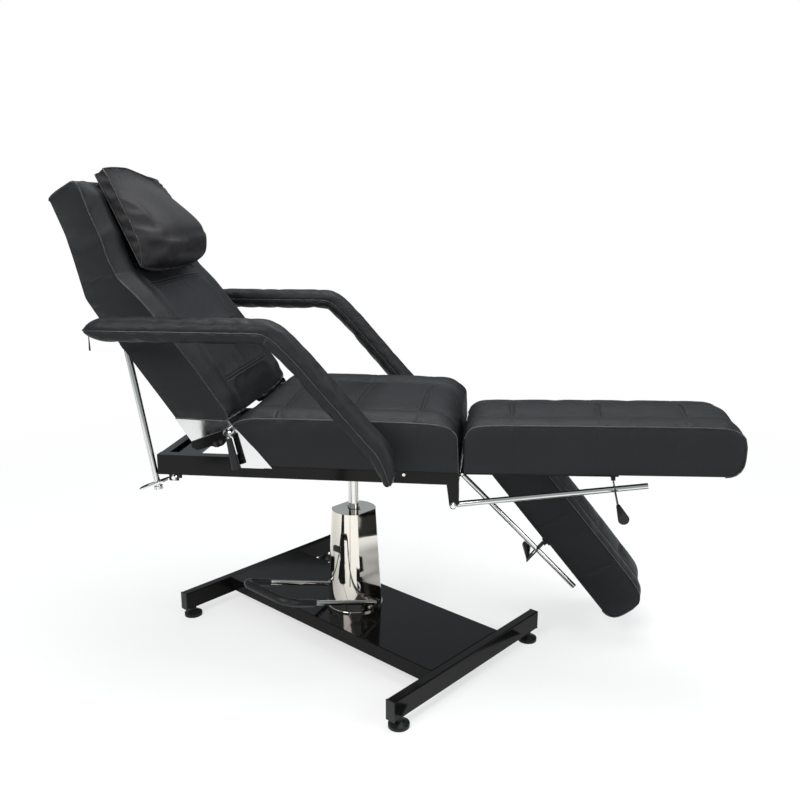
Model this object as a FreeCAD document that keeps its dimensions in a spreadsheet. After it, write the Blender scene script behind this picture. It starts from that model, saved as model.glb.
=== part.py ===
import FreeCAD, Part
import math
import os

from FreeCAD import Placement, Rotation, Vector

# Tattoo chair: a steel base with a hydraulic pump, a lift ram, a swivelling seat frame with a hinged
# back rest and two separately hinged leg rests, and two fixed armrests.
# Lengths are in millimetres and angles in degrees. +X points to the foot end, +Z up, and the floor is
# z = 0. The right side of a sitter is -Y.

doc = FreeCAD.newDocument("TattooChair")
sheet = doc.addObject("Spreadsheet::Sheet", "Sizes")

DIMENSIONS = [
    # Column and base
    ("column_setback", 140.7),
    ("base_yaw", 35.23),
    ("bar_length", 584.0),
    ("bar_width", 25.0),
    ("bar_height", 50.0),
    ("bar_ground_gap", 26.5),
    ("tube_wall", 2.0),
    ("tube_corner", 3.0),
    ("plug_cap", 3.0),
    ("plug_depth", 14.0),
    ("deck_length", 778.0),
    ("deck_width", 269.0),
    ("deck_fold", 37.0),
    ("deck_sheet", 2.5),
    ("cut_overrun", 2.0),
    ("running_gap", 0.05),
    ("fit_gap", 0.3),
    # Levelling feet
    ("foot_inset", 30.0),
    ("foot_radius", 25.0),
    ("foot_disc", 8.0),
    ("foot_flare", 8.0),
    ("foot_neck_radius", 9.0),
    ("foot_stem_radius", 5.0),
    ("foot_stem_reach", 36.0),
    # Pump
    ("flange_radius", 77.0),
    ("flange_height", 4.0),
    ("shroud_foot_radius", 75.0),
    ("shroud_top_radius", 60.0),
    ("shroud_foot_flat", 64.0),
    ("shroud_top_flat", 49.0),
    ("shroud_height", 273.5),
    ("shroud_wall", 2.0),
    ("shroud_round", 5.0),
    ("shroud_ram_gap", 2.5),
    ("shroud_hole_radius", 4.0),
    ("shroud_hole_offset", 21.0),
    ("shaft_hole_gap", 2.0),
    ("panel_width", 104.0),
    ("panel_height", 166.0),
    ("panel_gap", 0.7),
    ("latch_width", 22.0),
    ("latch_height", 15.0),
    ("latch_depth", 4.0),
    ("block_width", 72.0),
    ("block_front", 60.0),
    ("block_back", 38.0),
    ("block_height", 44.0),
    ("cylinder_radius", 31.0),
    ("cylinder_height", 214.0),
    ("plunger_radius", 6.0),
    ("plunger_setback", 45.0),
    ("plunger_length", 20.0),
    ("plunger_rise", 31.0),
    ("rocker_width", 16.0),
    ("rocker_room", 2.0),
    ("roller_radius", 6.0),
    ("roller_gap", 0.5),
    # Pedal
    ("pedal_axis_height", 105.0),
    ("pedal_axis_front", 5.0),
    ("pedal_slope", 20.0),
    ("pedal_reach", 330.0),
    ("pedal_width", 176.0),
    ("pedal_bar_radius", 6.5),
    ("pedal_bend_radius", 34.0),
    ("pedal_shaft_radius", 6.0),
    ("pedal_eye_radius", 10.0),
    ("pedal_eye_length", 16.0),
    ("sleeve_start", 240.0),
    ("sleeve_wall", 3.5),
    # Lift ram and hub
    ("ram_radius", 14.0),
    ("ram_foot", 190.0),
    ("ram_top", 500.0),
    ("hub_radius", 30.0),
    ("hub_underside", 440.0),
    ("hub_plate_length", 210.0),
    ("hub_plate_width", 150.0),
    ("hub_plate_sheet", 6.0),
    ("mid_tube_offset", 75.0),
    # Seat frame
    ("frame_width", 504.0),
    ("rail_underside", 514.0),
    ("rail_width", 25.0),
    ("rail_height", 50.0),
    ("rail_front", 296.0),
    ("rail_rear", 440.0),
    ("head_plate_length", 64.0),
    ("head_plate_sheet", 5.0),
    ("head_plate_drop", 9.0),
    # Bolts
    ("bolt_radius", 4.0),
    ("bolt_head_radius", 8.0),
    ("bolt_head_height", 4.0),
    ("nut_height", 6.0),
    ("pivot_bolt_radius", 5.0),
    ("pivot_head_radius", 9.5),
    ("small_bolt_radius", 3.0),
    ("small_head_radius", 6.0),
    ("small_head_height", 3.0),
    # Boards
    ("board_sheet", 12.0),
    ("board_inset", 21.0),
    # Seat cushion
    ("seat_rear", 243.0),
    ("seat_length", 537.0),
    ("seat_skirt", 9.0),
    ("seat_underside", 546.0),
    ("seat_thickness", 120.0),
    ("seat_seam_inset", 92.0),
    ("seat_seam_rise", 4.0),
    ("seat_crown", 15.0),
    ("seat_puff", 6.0),
    ("seat_border_puff", 15.0),
    ("seam_puff", 2.0),
    # Hinge of the back rest
    ("pivot_x", 250.0),
    ("pivot_z", 632.0),
    ("back_angle", 53.0),
    ("hinge_sheet", 4.0),
    ("hinge_eye", 12.0),
    ("seat_plate_length", 92.0),
    ("seat_plate_height", 109.0),
    ("back_plate_length", 101.0),
    ("back_plate_height", 106.0),
    ("layer_gap", 0.5),
    ("arm_sheet", 5.0),
    ("arm_start", 13.0),
    ("arm_length", 95.0),
    ("arm_width", 25.0),
    ("arm_lean", 22.0),
    ("arm_ear", 18.0),
    ("arm_bolt_high", 34.0),
    ("arm_bolt_low", 49.0),
    ("arm_bolt_head_radius", 7.0),
    # Back cushion
    ("back_length", 649.0),
    ("back_rear", 91.0),
    ("back_foot", 22.0),
    ("back_thickness", 119.0),
    ("back_seam_inset", 92.0),
    ("back_seam_rise", 14.0),
    ("back_crown", 22.0),
    ("back_puff", 7.0),
    ("back_border_puff", 15.0),
    ("back_recess", 27.0),
    ("back_foot_run", 80.0),
    ("back_recess_past", 5.0),
    ("back_board_start", 90.0),
    # Head pillow
    ("pillow_width", 370.0),
    ("pillow_lap", 16.0),
    ("pillow_length", 272.0),
    ("pillow_thickness", 92.0),
    ("pillow_rest_foot", 42.7),
    ("pillow_rest_slope", 12.5),
    ("pillow_edge", 0.29),
    # Back prop
    ("prop_pivot_reach", 310.4),
    ("prop_pivot_drop", 83.0),
    ("prop_radius", 7.5),
    ("prop_eye_radius", 9.0),
    ("prop_lean", 9.2),
    ("prop_length", 354.0),
    ("prop_nut_radius", 11.0),
    ("prop_nut_height", 8.0),
    ("ear_sheet", 3.0),
    ("ear_gap", 17.0),
    ("lock_bolt_x", 400.0),
    ("lock_bolt_drop", 7.0),
    ("lock_slope", 21.1),
    ("lock_length", 99.0),
    ("lock_neck", 18.0),
    ("lock_width", 34.0),
    ("lock_sheet", 4.0),
    ("lock_slot_start", 41.0),
    ("lock_slot_length", 48.0),
    ("lock_eye_radius", 6.0),
    # Release lever
    ("lever_hub_radius", 10.0),
    ("lever_hub_length", 23.0),
    ("lever_pin_radius", 4.0),
    ("lever_pin_length", 40.0),
    ("grip_top_radius", 7.0),
    ("grip_end_radius", 11.0),
    ("grip_start", 14.0),
    ("grip_end", 90.0),
    ("grip_lean", 10.9),
    # Leg rests
    ("leg_hinge_x", 303.0),
    ("leg_hinge_z", 541.0),
    ("right_leg_rise", 1.2),
    ("left_leg_drop", 51.0),
    ("leg_start", 3.0),
    ("leg_length", 627.0),
    ("leg_thickness", 117.0),
    ("leg_split", 10.0),
    ("leg_lift", 5.0),
    ("leg_seam_inset", 52.0),
    ("leg_seam_rise", 11.0),
    ("leg_crown", 22.0),
    ("leg_puff", 6.0),
    ("leg_border_puff", 3.0),
    ("leg_board_inset", 16.0),
    ("leg_board_margin", 30.0),
    ("hinge_pin_radius", 3.0),
    ("knuckle_radius", 4.7),
    ("knuckle_length", 34.0),
    ("leaf_length", 62.0),
    ("leaf_sheet", 3.5),
    ("strap_width", 30.0),
    # Leg props
    ("left_prop_y", 26.5),
    ("prop_bracket_x", 283.0),
    ("prop_bracket_z", 462.0),
    ("prop_bracket_length", 29.0),
    ("leg_rod_radius", 7.0),
    ("leg_rod_eye_radius", 9.0),
    ("leg_rod_length", 451.0),
    ("catch_reach", 351.4),
    ("catch_drop", 33.2),
    ("catch_play", 10.5),
    ("catch_sheet", 3.0),
    ("catch_width", 26.0),
    ("catch_lean", 12.0),
    ("catch_tail", 43.0),
    ("catch_pin_radius", 2.0),
    ("catch_knuckle_radius", 4.0),
    ("catch_pivot_drop", 4.5),
    ("knob_neck_radius", 5.0),
    ("knob_end_radius", 12.5),
    ("knob_length", 85.0),
    # Armrests
    ("armrest_stand", 98.0),
    ("armrest_width", 64.0),
    ("armrest_thickness", 56.0),
    ("armrest_height", 883.5),
    ("armrest_rear", 551.0),
    ("armrest_bend_x", 112.6),
    ("armrest_foot_x", 142.5),
    ("armrest_foot_z", 537.0),
    ("armrest_foot_run", 70.0),
    ("armrest_tube_radius", 8.0),
    ("armrest_tube_bend", 26.0),
    ("armrest_tube_inset", 40.0),
    ("armrest_end_round", 9.0),
    ("armrest_plate_length", 62.0),
    ("armrest_plate_height", 17.0),
    ("armrest_plate_sheet", 4.0),
]

for row, (alias, value) in enumerate(DIMENSIONS, start=1):
    sheet.set("A%d" % row, alias)
    sheet.set("B%d" % row, str(value))
    sheet.setAlias("B%d" % row, alias)
doc.recompute()


class Size:
    """A length or angle: its formula in the document and its value now."""

    def __init__(self, text, value):
        self.text = text
        self.value = value

    def joined(self, sign, other, value):
        return Size("(%s %s %s)" % (self.text, sign, as_size(other).text), value)

    def __add__(self, other):
        return self.joined("+", other, self.value + as_size(other).value)

    def __sub__(self, other):
        return self.joined("-", other, self.value - as_size(other).value)

    def __mul__(self, other):
        return self.joined("*", other, self.value * as_size(other).value)

    def __truediv__(self, other):
        return self.joined("/", other, self.value / as_size(other).value)

    def __radd__(self, other):
        return as_size(other) + self

    def __rsub__(self, other):
        return as_size(other) - self

    def __rmul__(self, other):
        return as_size(other) * self

    def __neg__(self):
        return as_size(0) - self


def as_size(number):
    return number if isinstance(number, Size) else Size(repr(number), number)


def cosine(angle):
    return Size("cos(%s)" % angle.text, math.cos(math.radians(angle.value)))


def sine(angle):
    return Size("sin(%s)" % angle.text, math.sin(math.radians(angle.value)))


def slope_angle(rise, run):
    angle = math.degrees(math.atan2(rise.value, run.value))
    return Size("atan2(%s; %s)" % (rise.text, run.text), angle)


class Sheet:
    """Reads a named driving dimension as a Size."""

    def __getattr__(self, alias):
        return Size("Sizes." + alias, float(sheet.get(alias)))


S = Sheet()
ZERO = as_size(0)
HALF = 0.5
AXES = {
    "x": Rotation(Vector(0, 1, 0), 90),
    "y": Rotation(Vector(1, 0, 0), -90),
    "z": Rotation(),
}
nodes = []


def bind(thing, path, size):
    thing.setExpression(path, as_size(size).text)


def bind_base(thing, x, y, z):
    bind(thing, "Placement.Base.x", x)
    bind(thing, "Placement.Base.y", y)
    bind(thing, "Placement.Base.z", z)


class Frame:
    """A place on the chair whose pieces share one turn about Y, or about Z for the base."""

    def __init__(self, x, z, angle=None, axis=Vector(0, 1, 0), sense=1):
        self.x = x
        self.z = z
        self.angle = angle
        self.axis = axis * sense
        self.sense = sense

    def place(self, thing):
        if self.angle is not None:
            thing.Placement = Placement(Vector(), Rotation(self.axis, self.angle.value))
            bind(thing, "Placement.Rotation.Angle", self.angle)
        bind_base(thing, self.x, ZERO, self.z)

    def point(self, x, z):
        """The chair's own x and z of a point in this frame."""
        turn = self.angle
        c = cosine(turn)
        s = sine(turn) * self.sense
        return self.x + x * c + z * s, self.z - x * s + z * c


def node(label, frame, thing):
    thing.Label = label
    frame.place(thing)
    nodes.append(thing)
    return thing


def box(x0, x1, y0, y1, z0, z1):
    thing = doc.addObject("Part::Box", "Box")
    bind(thing, "Length", x1 - x0)
    bind(thing, "Width", y1 - y0)
    bind(thing, "Height", z1 - z0)
    bind_base(thing, x0, y0, z0)
    return thing


def rod(axis, x, y, z, radius, length):
    thing = doc.addObject("Part::Cylinder", "Rod")
    thing.Placement = Placement(Vector(), AXES[axis])
    bind(thing, "Radius", radius)
    bind(thing, "Height", length)
    bind_base(thing, x, y, z)
    return thing


def taper(axis, x, y, z, radius, end_radius, length):
    thing = doc.addObject("Part::Cone", "Taper")
    thing.Placement = Placement(Vector(), AXES[axis])
    bind(thing, "Radius1", radius)
    bind(thing, "Radius2", end_radius)
    bind(thing, "Height", length)
    bind_base(thing, x, y, z)
    return thing


def fused(*things):
    thing = doc.addObject("Part::MultiFuse", "Fusion")
    thing.Shapes = list(things)
    return thing


def shared(*things):
    thing = doc.addObject("Part::MultiCommon", "Common")
    thing.Shapes = list(things)
    return thing


def cut(base, *tools):
    thing = doc.addObject("Part::Cut", "Cut")
    thing.Base = base
    thing.Tool = tools[0] if len(tools) == 1 else fused(*tools)
    return thing


def group(*things):
    thing = doc.addObject("Part::Compound", "Group")
    thing.Links = list(things)
    return thing


def feature(shape):
    thing = doc.addObject("Part::Feature", "Form")
    thing.Shape = shape
    return thing


def new_sketch(body, role, offset):
    sketch = body.newObject("Sketcher::SketchObject", "Sketch")
    plane = [part for part in body.Origin.OriginFeatures if part.Role == role][0]
    sketch.AttachmentSupport = [(plane, "")]
    sketch.MapMode = "FlatFace"
    bind(sketch, "AttachmentOffset.Base.z", offset)
    return sketch


def pin_point(sketch, curve, end, x, y):
    for kind, size, line in (("DistanceX", x, -2), ("DistanceY", y, -1)):
        if size is ZERO:
            sketch.addConstraint(Sketcher_constraint("PointOnObject", curve, end, line))
        else:
            index = sketch.addConstraint(Sketcher_constraint(kind, -1, 1, curve, end, size.value))
            bind(sketch, "Constraints[%d]" % index, size)


def Sketcher_constraint(*values):
    import Sketcher

    return Sketcher.Constraint(*values)


def draw_outline(sketch, points):
    count = len(points)
    corners = [Vector(x.value, y.value, 0) for x, y in points]
    first = sketch.GeometryCount
    for i in range(count):
        sketch.addGeometry(Part.LineSegment(corners[i], corners[(i + 1) % count]), False)
    for i in range(count):
        following = first + (i + 1) % count
        sketch.addConstraint(Sketcher_constraint("Coincident", first + i, 2, following, 1))
    for i, (x, y) in enumerate(points):
        pin_point(sketch, first + i, 1, x, y)


def draw_circle(sketch, x, y, radius):
    circle = Part.Circle(Vector(x.value, y.value, 0), Vector(0, 0, 1), radius.value)
    curve = sketch.addGeometry(circle, False)
    pin_point(sketch, curve, 3, x, y)
    index = sketch.addConstraint(Sketcher_constraint("Radius", curve, radius.value))
    bind(sketch, "Constraints[%d]" % index, radius)


def rectangle(x0, x1, y0, y1):
    return [(x0, y0), (x1, y0), (x1, y1), (x0, y1)]


def padded_body(role, offset, length, outlines, holes=()):
    """A sheet or tube: outlines on an origin plane, padded along its normal from the offset."""
    body = doc.addObject("PartDesign::Body", "Body")
    sketch = new_sketch(body, role, offset)
    for outline in outlines:
        draw_outline(sketch, outline)
    for x, y, radius in holes:
        draw_circle(sketch, x, y, radius)
    pad = body.newObject("PartDesign::Pad", "Pad")
    pad.Profile = sketch
    bind(pad, "Length", length)
    return body


def round_edges(body, radius, wanted):
    """Rounds the edges of the body's last feature that wanted(edge) picks."""
    doc.recompute()
    base = body.Tip
    names = ["Edge%d" % (i + 1) for i, edge in enumerate(base.Shape.Edges) if wanted(edge)]
    fillet = body.newObject("PartDesign::Fillet", "Fillet")
    fillet.Base = (base, names)
    bind(fillet, "Radius", radius)
    return body


def runs_along(edge, direction):
    return edge.Curve.TypeId == "Part::GeomLine" and abs(edge.tangentAt(0).dot(direction)) > 0.999


def tube_body(axis, low, high, corner_low, corner_high, wall):
    """A rectangular steel tube along an axis; the corners give its outer section."""
    role, flip = {"x": ("YZ_Plane", False), "y": ("XZ_Plane", True)}[axis]
    (a0, b0), (a1, b1) = corner_low, corner_high
    outer = rectangle(a0, a1, b0, b1)
    inner = rectangle(a0 + wall, a1 - wall, b0 + wall, b1 - wall)
    body = padded_body(role, -high if flip else low, high - low, [outer, inner])
    direction = Vector(1, 0, 0) if axis == "x" else Vector(0, 1, 0)
    limits = (a0.value, a1.value, b0.value, b1.value)

    def outside(edge):
        if not runs_along(edge, direction):
            return False
        point = edge.Vertexes[0].Point
        a, b = (point.y if axis == "x" else point.x), point.z
        on_a = min(abs(a - limits[0]), abs(a - limits[1])) < 0.01
        on_b = min(abs(b - limits[2]), abs(b - limits[3])) < 0.01
        return on_a and on_b

    return round_edges(body, S.tube_corner, outside)


def centre_y(side, size):
    """A distance from the middle plane, on the right (-1) or left (+1) side."""
    return size if side > 0 else -size


def dome_bolt(x, z, head_y, side, shank, shank_radius, head_radius, head_height):
    """A bolt along Y: a domed head outside head_y and a shank that points inwards."""
    head_low = head_y if side > 0 else head_y - head_height
    shank_low = head_y - shank if side > 0 else head_y
    cap = taper("y", x, head_low, z, head_radius, head_radius * 0.6, head_height)
    if side < 0:
        cap = taper("y", x, head_low, z, head_radius * 0.6, head_radius, head_height)
    return fused(cap, rod("y", x, shank_low, z, shank_radius, shank))


# Frames: the base is turned under the seat, the rest turn about pins along Y.
column_x = -S.column_setback
BASE = Frame(column_x, ZERO, S.base_yaw, Vector(0, 0, 1), -1)
SEAT = Frame(column_x, ZERO)
BACK = Frame(column_x - S.pivot_x, S.pivot_z, S.back_angle)
LEG = {
    "right": Frame(column_x + S.leg_hinge_x, S.leg_hinge_z, S.right_leg_rise, sense=-1),
    "left": Frame(column_x + S.leg_hinge_x, S.leg_hinge_z, S.left_leg_drop),
}
SIDES = {"right": -1, "left": 1}

# Base bars: two rectangular tubes across the ends of the deck, closed by plastic plugs.
bar_top = S.bar_ground_gap + S.bar_height
bar_inner = S.deck_length * HALF
bar_outer = bar_inner + S.bar_width
bar_middle = bar_inner + S.bar_width * HALF
tube_end = S.bar_length * HALF - S.plug_cap
foot_y = S.bar_length * HALF - S.foot_inset


def base_bar(label, side):
    low = bar_inner if side > 0 else -bar_outer
    tube = tube_body(
        "y",
        -tube_end,
        tube_end,
        (low, S.bar_ground_gap),
        (low + S.bar_width, bar_top),
        S.tube_wall,
    )
    holes = [
        rod(
            "z",
            centre_y(side, bar_middle),
            centre_y(end, foot_y),
            S.bar_ground_gap - S.cut_overrun,
            S.foot_stem_radius + S.running_gap,
            S.tube_wall + S.cut_overrun * 2,
        )
        for end in (-1, 1)
    ]
    node(label, BASE, cut(tube, *holes))


def bar_plug(side, end):
    """A plug with a cap outside the tube's end and a shank inside its bore."""
    low = bar_inner if side > 0 else -bar_outer
    cap_low = tube_end if end > 0 else -tube_end - S.plug_cap
    shank_low = tube_end - S.plug_depth if end > 0 else -tube_end
    inset = S.tube_wall + S.fit_gap * HALF
    cap = box(low, low + S.bar_width, cap_low, cap_low + S.plug_cap, S.bar_ground_gap, bar_top)
    shank = box(
        low + inset,
        low + S.bar_width - inset,
        shank_low,
        shank_low + S.plug_depth,
        S.bar_ground_gap + inset,
        bar_top - inset,
    )
    return fused(cap, shank)


base_bar("front_bar", 1)
base_bar("rear_bar", -1)
node("bar_plugs", BASE, group(*[bar_plug(side, end) for side in (-1, 1) for end in (-1, 1)]))

# Deck: one folded steel sheet between the bars, its two long edges turned down.
deck_half = S.deck_width * HALF
deck = padded_body(
    "YZ_Plane",
    -bar_inner,
    S.deck_length,
    [
        [
            (-deck_half, bar_top - S.deck_fold),
            (-deck_half + S.deck_sheet, bar_top - S.deck_fold),
            (-deck_half + S.deck_sheet, bar_top - S.deck_sheet),
            (deck_half - S.deck_sheet, bar_top - S.deck_sheet),
            (deck_half - S.deck_sheet, bar_top - S.deck_fold),
            (deck_half, bar_top - S.deck_fold),
            (deck_half, bar_top),
            (-deck_half, bar_top),
        ]
    ],
)


def deck_fold_edge(edge):
    point = edge.Vertexes[0].Point
    at_top = abs(point.z - bar_top.value) < 0.01
    at_side = abs(abs(point.y) - deck_half.value) < 0.01
    return runs_along(edge, Vector(1, 0, 0)) and at_top and at_side


round_edges(deck, S.deck_sheet * 0.9, deck_fold_edge)
node("deck", BASE, deck)


# Levelling feet: a rubber disc, a flared neck and a threaded stem that turns in the bar's floor.
def levelling_foot(label, side, end):
    x = centre_y(side, bar_middle)
    y = centre_y(end, foot_y)
    neck = S.bar_ground_gap - S.foot_disc - S.foot_flare
    disc = rod("z", x, y, ZERO, S.foot_radius, S.foot_disc)
    flare = taper("z", x, y, S.foot_disc, S.foot_radius * 0.92, S.foot_neck_radius, S.foot_flare)
    collar = rod("z", x, y, S.foot_disc + S.foot_flare, S.foot_neck_radius, neck)
    stem = rod("z", x, y, S.bar_ground_gap - neck * HALF, S.foot_stem_radius, S.foot_stem_reach)
    node(label, BASE, fused(disc, flare, collar, stem))


for bar, side in (("front", 1), ("rear", -1)):
    for hand, end in (("right", -1), ("left", 1)):
        levelling_foot("foot_%s_%s" % (bar, hand), side, end)

# Pump: a flange disc on the deck, a cast block with the cylinder on it, and a chrome shroud.
flange_top = bar_top + S.flange_height

block_top = flange_top + S.block_height
cylinder_top = block_top + S.cylinder_height
ram_bore = S.ram_radius + S.running_gap
shaft_y = -S.pedal_axis_front
plunger_y = -S.plunger_setback
rocker_low = S.pedal_axis_height - S.pedal_shaft_radius - S.rocker_room
rocker_half = S.rocker_width * HALF + S.rocker_room
shaft_clear = S.pedal_shaft_radius + S.running_gap
plunger_well = rod(
    "z",
    ZERO,
    plunger_y,
    bar_top - S.cut_overrun,
    S.plunger_radius + S.running_gap,
    rocker_low - bar_top + S.cut_overrun * 2,
)
flange_plate = rod("z", ZERO, ZERO, bar_top, S.flange_radius, S.flange_height)
node("pump_flange", BASE, cut(flange_plate, plunger_well))
pump_body = fused(
    box(
        -S.block_width * HALF,
        S.block_width * HALF,
        -S.block_front,
        S.block_back,
        flange_top,
        block_top,
    ),
    rod("z", ZERO, ZERO, flange_top + S.plug_cap, S.cylinder_radius, cylinder_top - flange_top - S.plug_cap),
)
node(
    "pump_cylinder",
    BASE,
    cut(
        pump_body,
        rod("z", ZERO, ZERO, block_top, ram_bore, S.cylinder_height + S.cut_overrun),
        rod(
            "x",
            -S.block_width * HALF - S.cut_overrun,
            shaft_y,
            S.pedal_axis_height,
            shaft_clear,
            S.block_width + S.cut_overrun * 2,
        ),
        box(
            -rocker_half,
            rocker_half,
            -S.block_front - S.cut_overrun,
            shaft_y + S.pedal_shaft_radius + S.rocker_room,
            rocker_low,
            block_top + S.plunger_rise,
        ),
        plunger_well,
    ),
)
plunger_top = flange_top + S.plunger_rise
node(
    "pump_plunger",
    BASE,
    group(rod("z", ZERO, plunger_y, plunger_top - S.plunger_length, S.plunger_radius, S.plunger_length)),
)

# Shroud: a chrome sheet cone with a flat on each side, holes for the pedal shaft and a top with holes.
shroud_top = flange_top + S.shroud_height


def flatted_cone(inset):
    """The shroud's outside, or its hollow when inset is the wall."""
    cone = taper(
        "z",
        ZERO,
        ZERO,
        flange_top,
        S.shroud_foot_radius - inset,
        S.shroud_top_radius - inset,
        S.shroud_height - inset,
    )
    wedge = doc.addObject("Part::Wedge", "Wedge")
    wedge.Placement = Placement(Vector(), Rotation(Vector(1, 0, 0), 90))
    foot = S.shroud_foot_flat - inset
    top = S.shroud_top_flat - inset
    bind(wedge, "Xmin", -foot)
    bind(wedge, "Xmax", foot)
    bind(wedge, "X2min", -top)
    bind(wedge, "X2max", top)
    bind(wedge, "Ymin", ZERO)
    bind(wedge, "Ymax", S.shroud_height - inset)
    bind(wedge, "Zmin", -S.shroud_foot_radius)
    bind(wedge, "Zmax", S.shroud_foot_radius)
    bind(wedge, "Z2min", -S.shroud_foot_radius)
    bind(wedge, "Z2max", S.shroud_foot_radius)
    bind_base(wedge, ZERO, ZERO, flange_top)
    return shared(cone, wedge)


def panel_outline(grow):
    """The bell-shaped outline of the service panel, in x and z, from its right foot over the peak."""
    bell_share = [(1.0, 0.0), (0.9, 0.1), (0.66, 0.24), (0.45, 0.46), (0.3, 0.75), (0.21, 1.0)]
    half = S.panel_width * HALF
    right = [(half * w + grow, flange_top + S.panel_height * h) for w, h in bell_share]
    right[0] = (right[0][0], flange_top - S.cut_overrun)
    right[-1] = (right[-1][0], right[-1][1] + grow)
    left = [(-x, z) for x, z in reversed(right)]
    return right + left


def panel_prism(grow):
    reach = S.shroud_foot_radius + S.cut_overrun
    return padded_body("XZ_Plane", ZERO, reach, [panel_outline(grow)])


shroud_shell = cut(flatted_cone(ZERO), flatted_cone(S.shroud_wall))
hole_reach = S.shroud_foot_radius + S.cut_overrun
shaft_hole = rod(
    "x",
    -hole_reach,
    shaft_y,
    S.pedal_axis_height,
    S.pedal_shaft_radius + S.shaft_hole_gap,
    hole_reach * 2,
)
top_holes = [
    rod(
        "z",
        centre_y(side, S.shroud_hole_offset),
        ZERO,
        shroud_top - S.shroud_wall - S.cut_overrun,
        S.shroud_hole_radius,
        S.shroud_wall + S.cut_overrun * 2,
    )
    for side in (-1, 1)
]
ram_hole = rod(
    "z",
    ZERO,
    ZERO,
    shroud_top - S.shroud_wall - S.cut_overrun,
    S.ram_radius + S.shroud_ram_gap,
    S.shroud_wall + S.cut_overrun * 2,
)
node(
    "pump_shroud",
    BASE,
    cut(shroud_shell, shaft_hole, ram_hole, panel_prism(S.panel_gap), *top_holes),
)
node(
    "service_panel",
    BASE,
    shared(cut(flatted_cone(ZERO), flatted_cone(S.shroud_wall)), panel_prism(ZERO)),
)
panel_top = flange_top + S.panel_height + S.panel_gap
cone_drop = (S.shroud_foot_radius - S.shroud_top_radius) / S.shroud_height
latch_radius = S.shroud_foot_radius - cone_drop * (S.panel_height + S.latch_height)
latch_low = -latch_radius - S.latch_depth
node(
    "panel_latch",
    BASE,
    cut(
        box(
            -S.latch_width * HALF,
            S.latch_width * HALF,
            latch_low,
            latch_low + S.latch_depth * 2,
            panel_top,
            panel_top + S.latch_height,
        ),
        flatted_cone(ZERO),
    ),
)


# Lines and tangent arcs through a list of corner points.
def bent_path(points, radius):
    edges = []
    start = points[0]
    for before, corner, after in zip(points, points[1:], points[2:]):
        back = (before - corner).normalize()
        ahead = (after - corner).normalize()
        bend = math.acos(max(-1.0, min(1.0, back.dot(ahead))))
        cutback = radius / math.tan(bend * HALF)
        first = corner + back * cutback
        last = corner + ahead * cutback
        inward = (back + ahead).normalize()
        middle = corner + inward * (radius / math.sin(bend * HALF) - radius)
        edges.append(Part.LineSegment(start, first).toShape())
        edges.append(Part.Arc(first, middle, last).toShape())
        start = last
    edges.append(Part.LineSegment(start, points[-1]).toShape())
    return Part.Wire(edges)


def pipe(points, bend, radius):
    path = bent_path(points, bend)
    ring = Part.Wire([Part.Circle(points[0], points[1] - points[0], radius).toShape()])
    return path.makePipeShell([ring], True, False)


# Pedal: a bent bar on a cross shaft; the shaft's rocker presses the pump's plunger.
pedal_half = S.pedal_width * HALF
shaft_end = pedal_half + S.pedal_eye_length * HALF
roller_z = plunger_top + S.roller_gap + S.roller_radius
rocker_reach = S.plunger_setback - S.pedal_axis_front
rocker_rise = roller_z - S.pedal_axis_height
rocker_body = padded_body(
    "YZ_Plane",
    -S.rocker_width * HALF,
    S.rocker_width,
    [
        [
            (shaft_y, S.pedal_axis_height - S.pedal_shaft_radius * 0.8),
            (shaft_y, S.pedal_axis_height + S.pedal_shaft_radius * 1.6),
            (plunger_y, roller_z + S.roller_radius * 0.9),
            (plunger_y, roller_z),
            (plunger_y + rocker_reach * 0.4, roller_z - rocker_rise * 0.35),
        ]
    ],
)
node(
    "pedal_shaft",
    BASE,
    fused(
        rod("x", -shaft_end, shaft_y, S.pedal_axis_height, S.pedal_shaft_radius, shaft_end * 2),
        rod("x", -S.rocker_width * HALF, plunger_y, roller_z, S.roller_radius, S.rocker_width),
        rocker_body,
    ),
)


def pedal_points(start):
    """The pedal bar's middle line, from the distance start along its arms."""
    half = pedal_half.value
    slope = math.radians(S.pedal_slope.value)
    y0 = shaft_y.value
    z0 = S.pedal_axis_height.value

    def along(x, distance):
        return Vector(x, y0 - distance * math.cos(slope), z0 + distance * math.sin(slope))

    reach = S.pedal_reach.value
    return [along(half, start), along(half, reach), along(-half, reach), along(-half, start)]


pedal_pipe = feature(pipe(pedal_points(0), S.pedal_bend_radius.value, S.pedal_bar_radius.value))
pedal_eyes = [
    rod(
        "x",
        centre_y(side, pedal_half) - S.pedal_eye_length * HALF,
        shaft_y,
        S.pedal_axis_height,
        S.pedal_eye_radius,
        S.pedal_eye_length,
    )
    for side in (-1, 1)
]
shaft_bore = rod(
    "x",
    -shaft_end - S.cut_overrun,
    shaft_y,
    S.pedal_axis_height,
    shaft_clear,
    (shaft_end + S.cut_overrun) * 2,
)
node("pedal_bar", BASE, cut(fused(pedal_pipe, *pedal_eyes), shaft_bore))
sleeve_path = pedal_points(S.sleeve_start.value)
sleeve_inner = S.pedal_bar_radius.value + S.running_gap.value
sleeve_outer = pipe(sleeve_path, S.pedal_bend_radius.value, sleeve_inner + S.sleeve_wall.value)
sleeve_bore = pipe(sleeve_path, S.pedal_bend_radius.value, sleeve_inner)
node("pedal_sleeve", BASE, feature(sleeve_outer.cut(sleeve_bore)))

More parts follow.
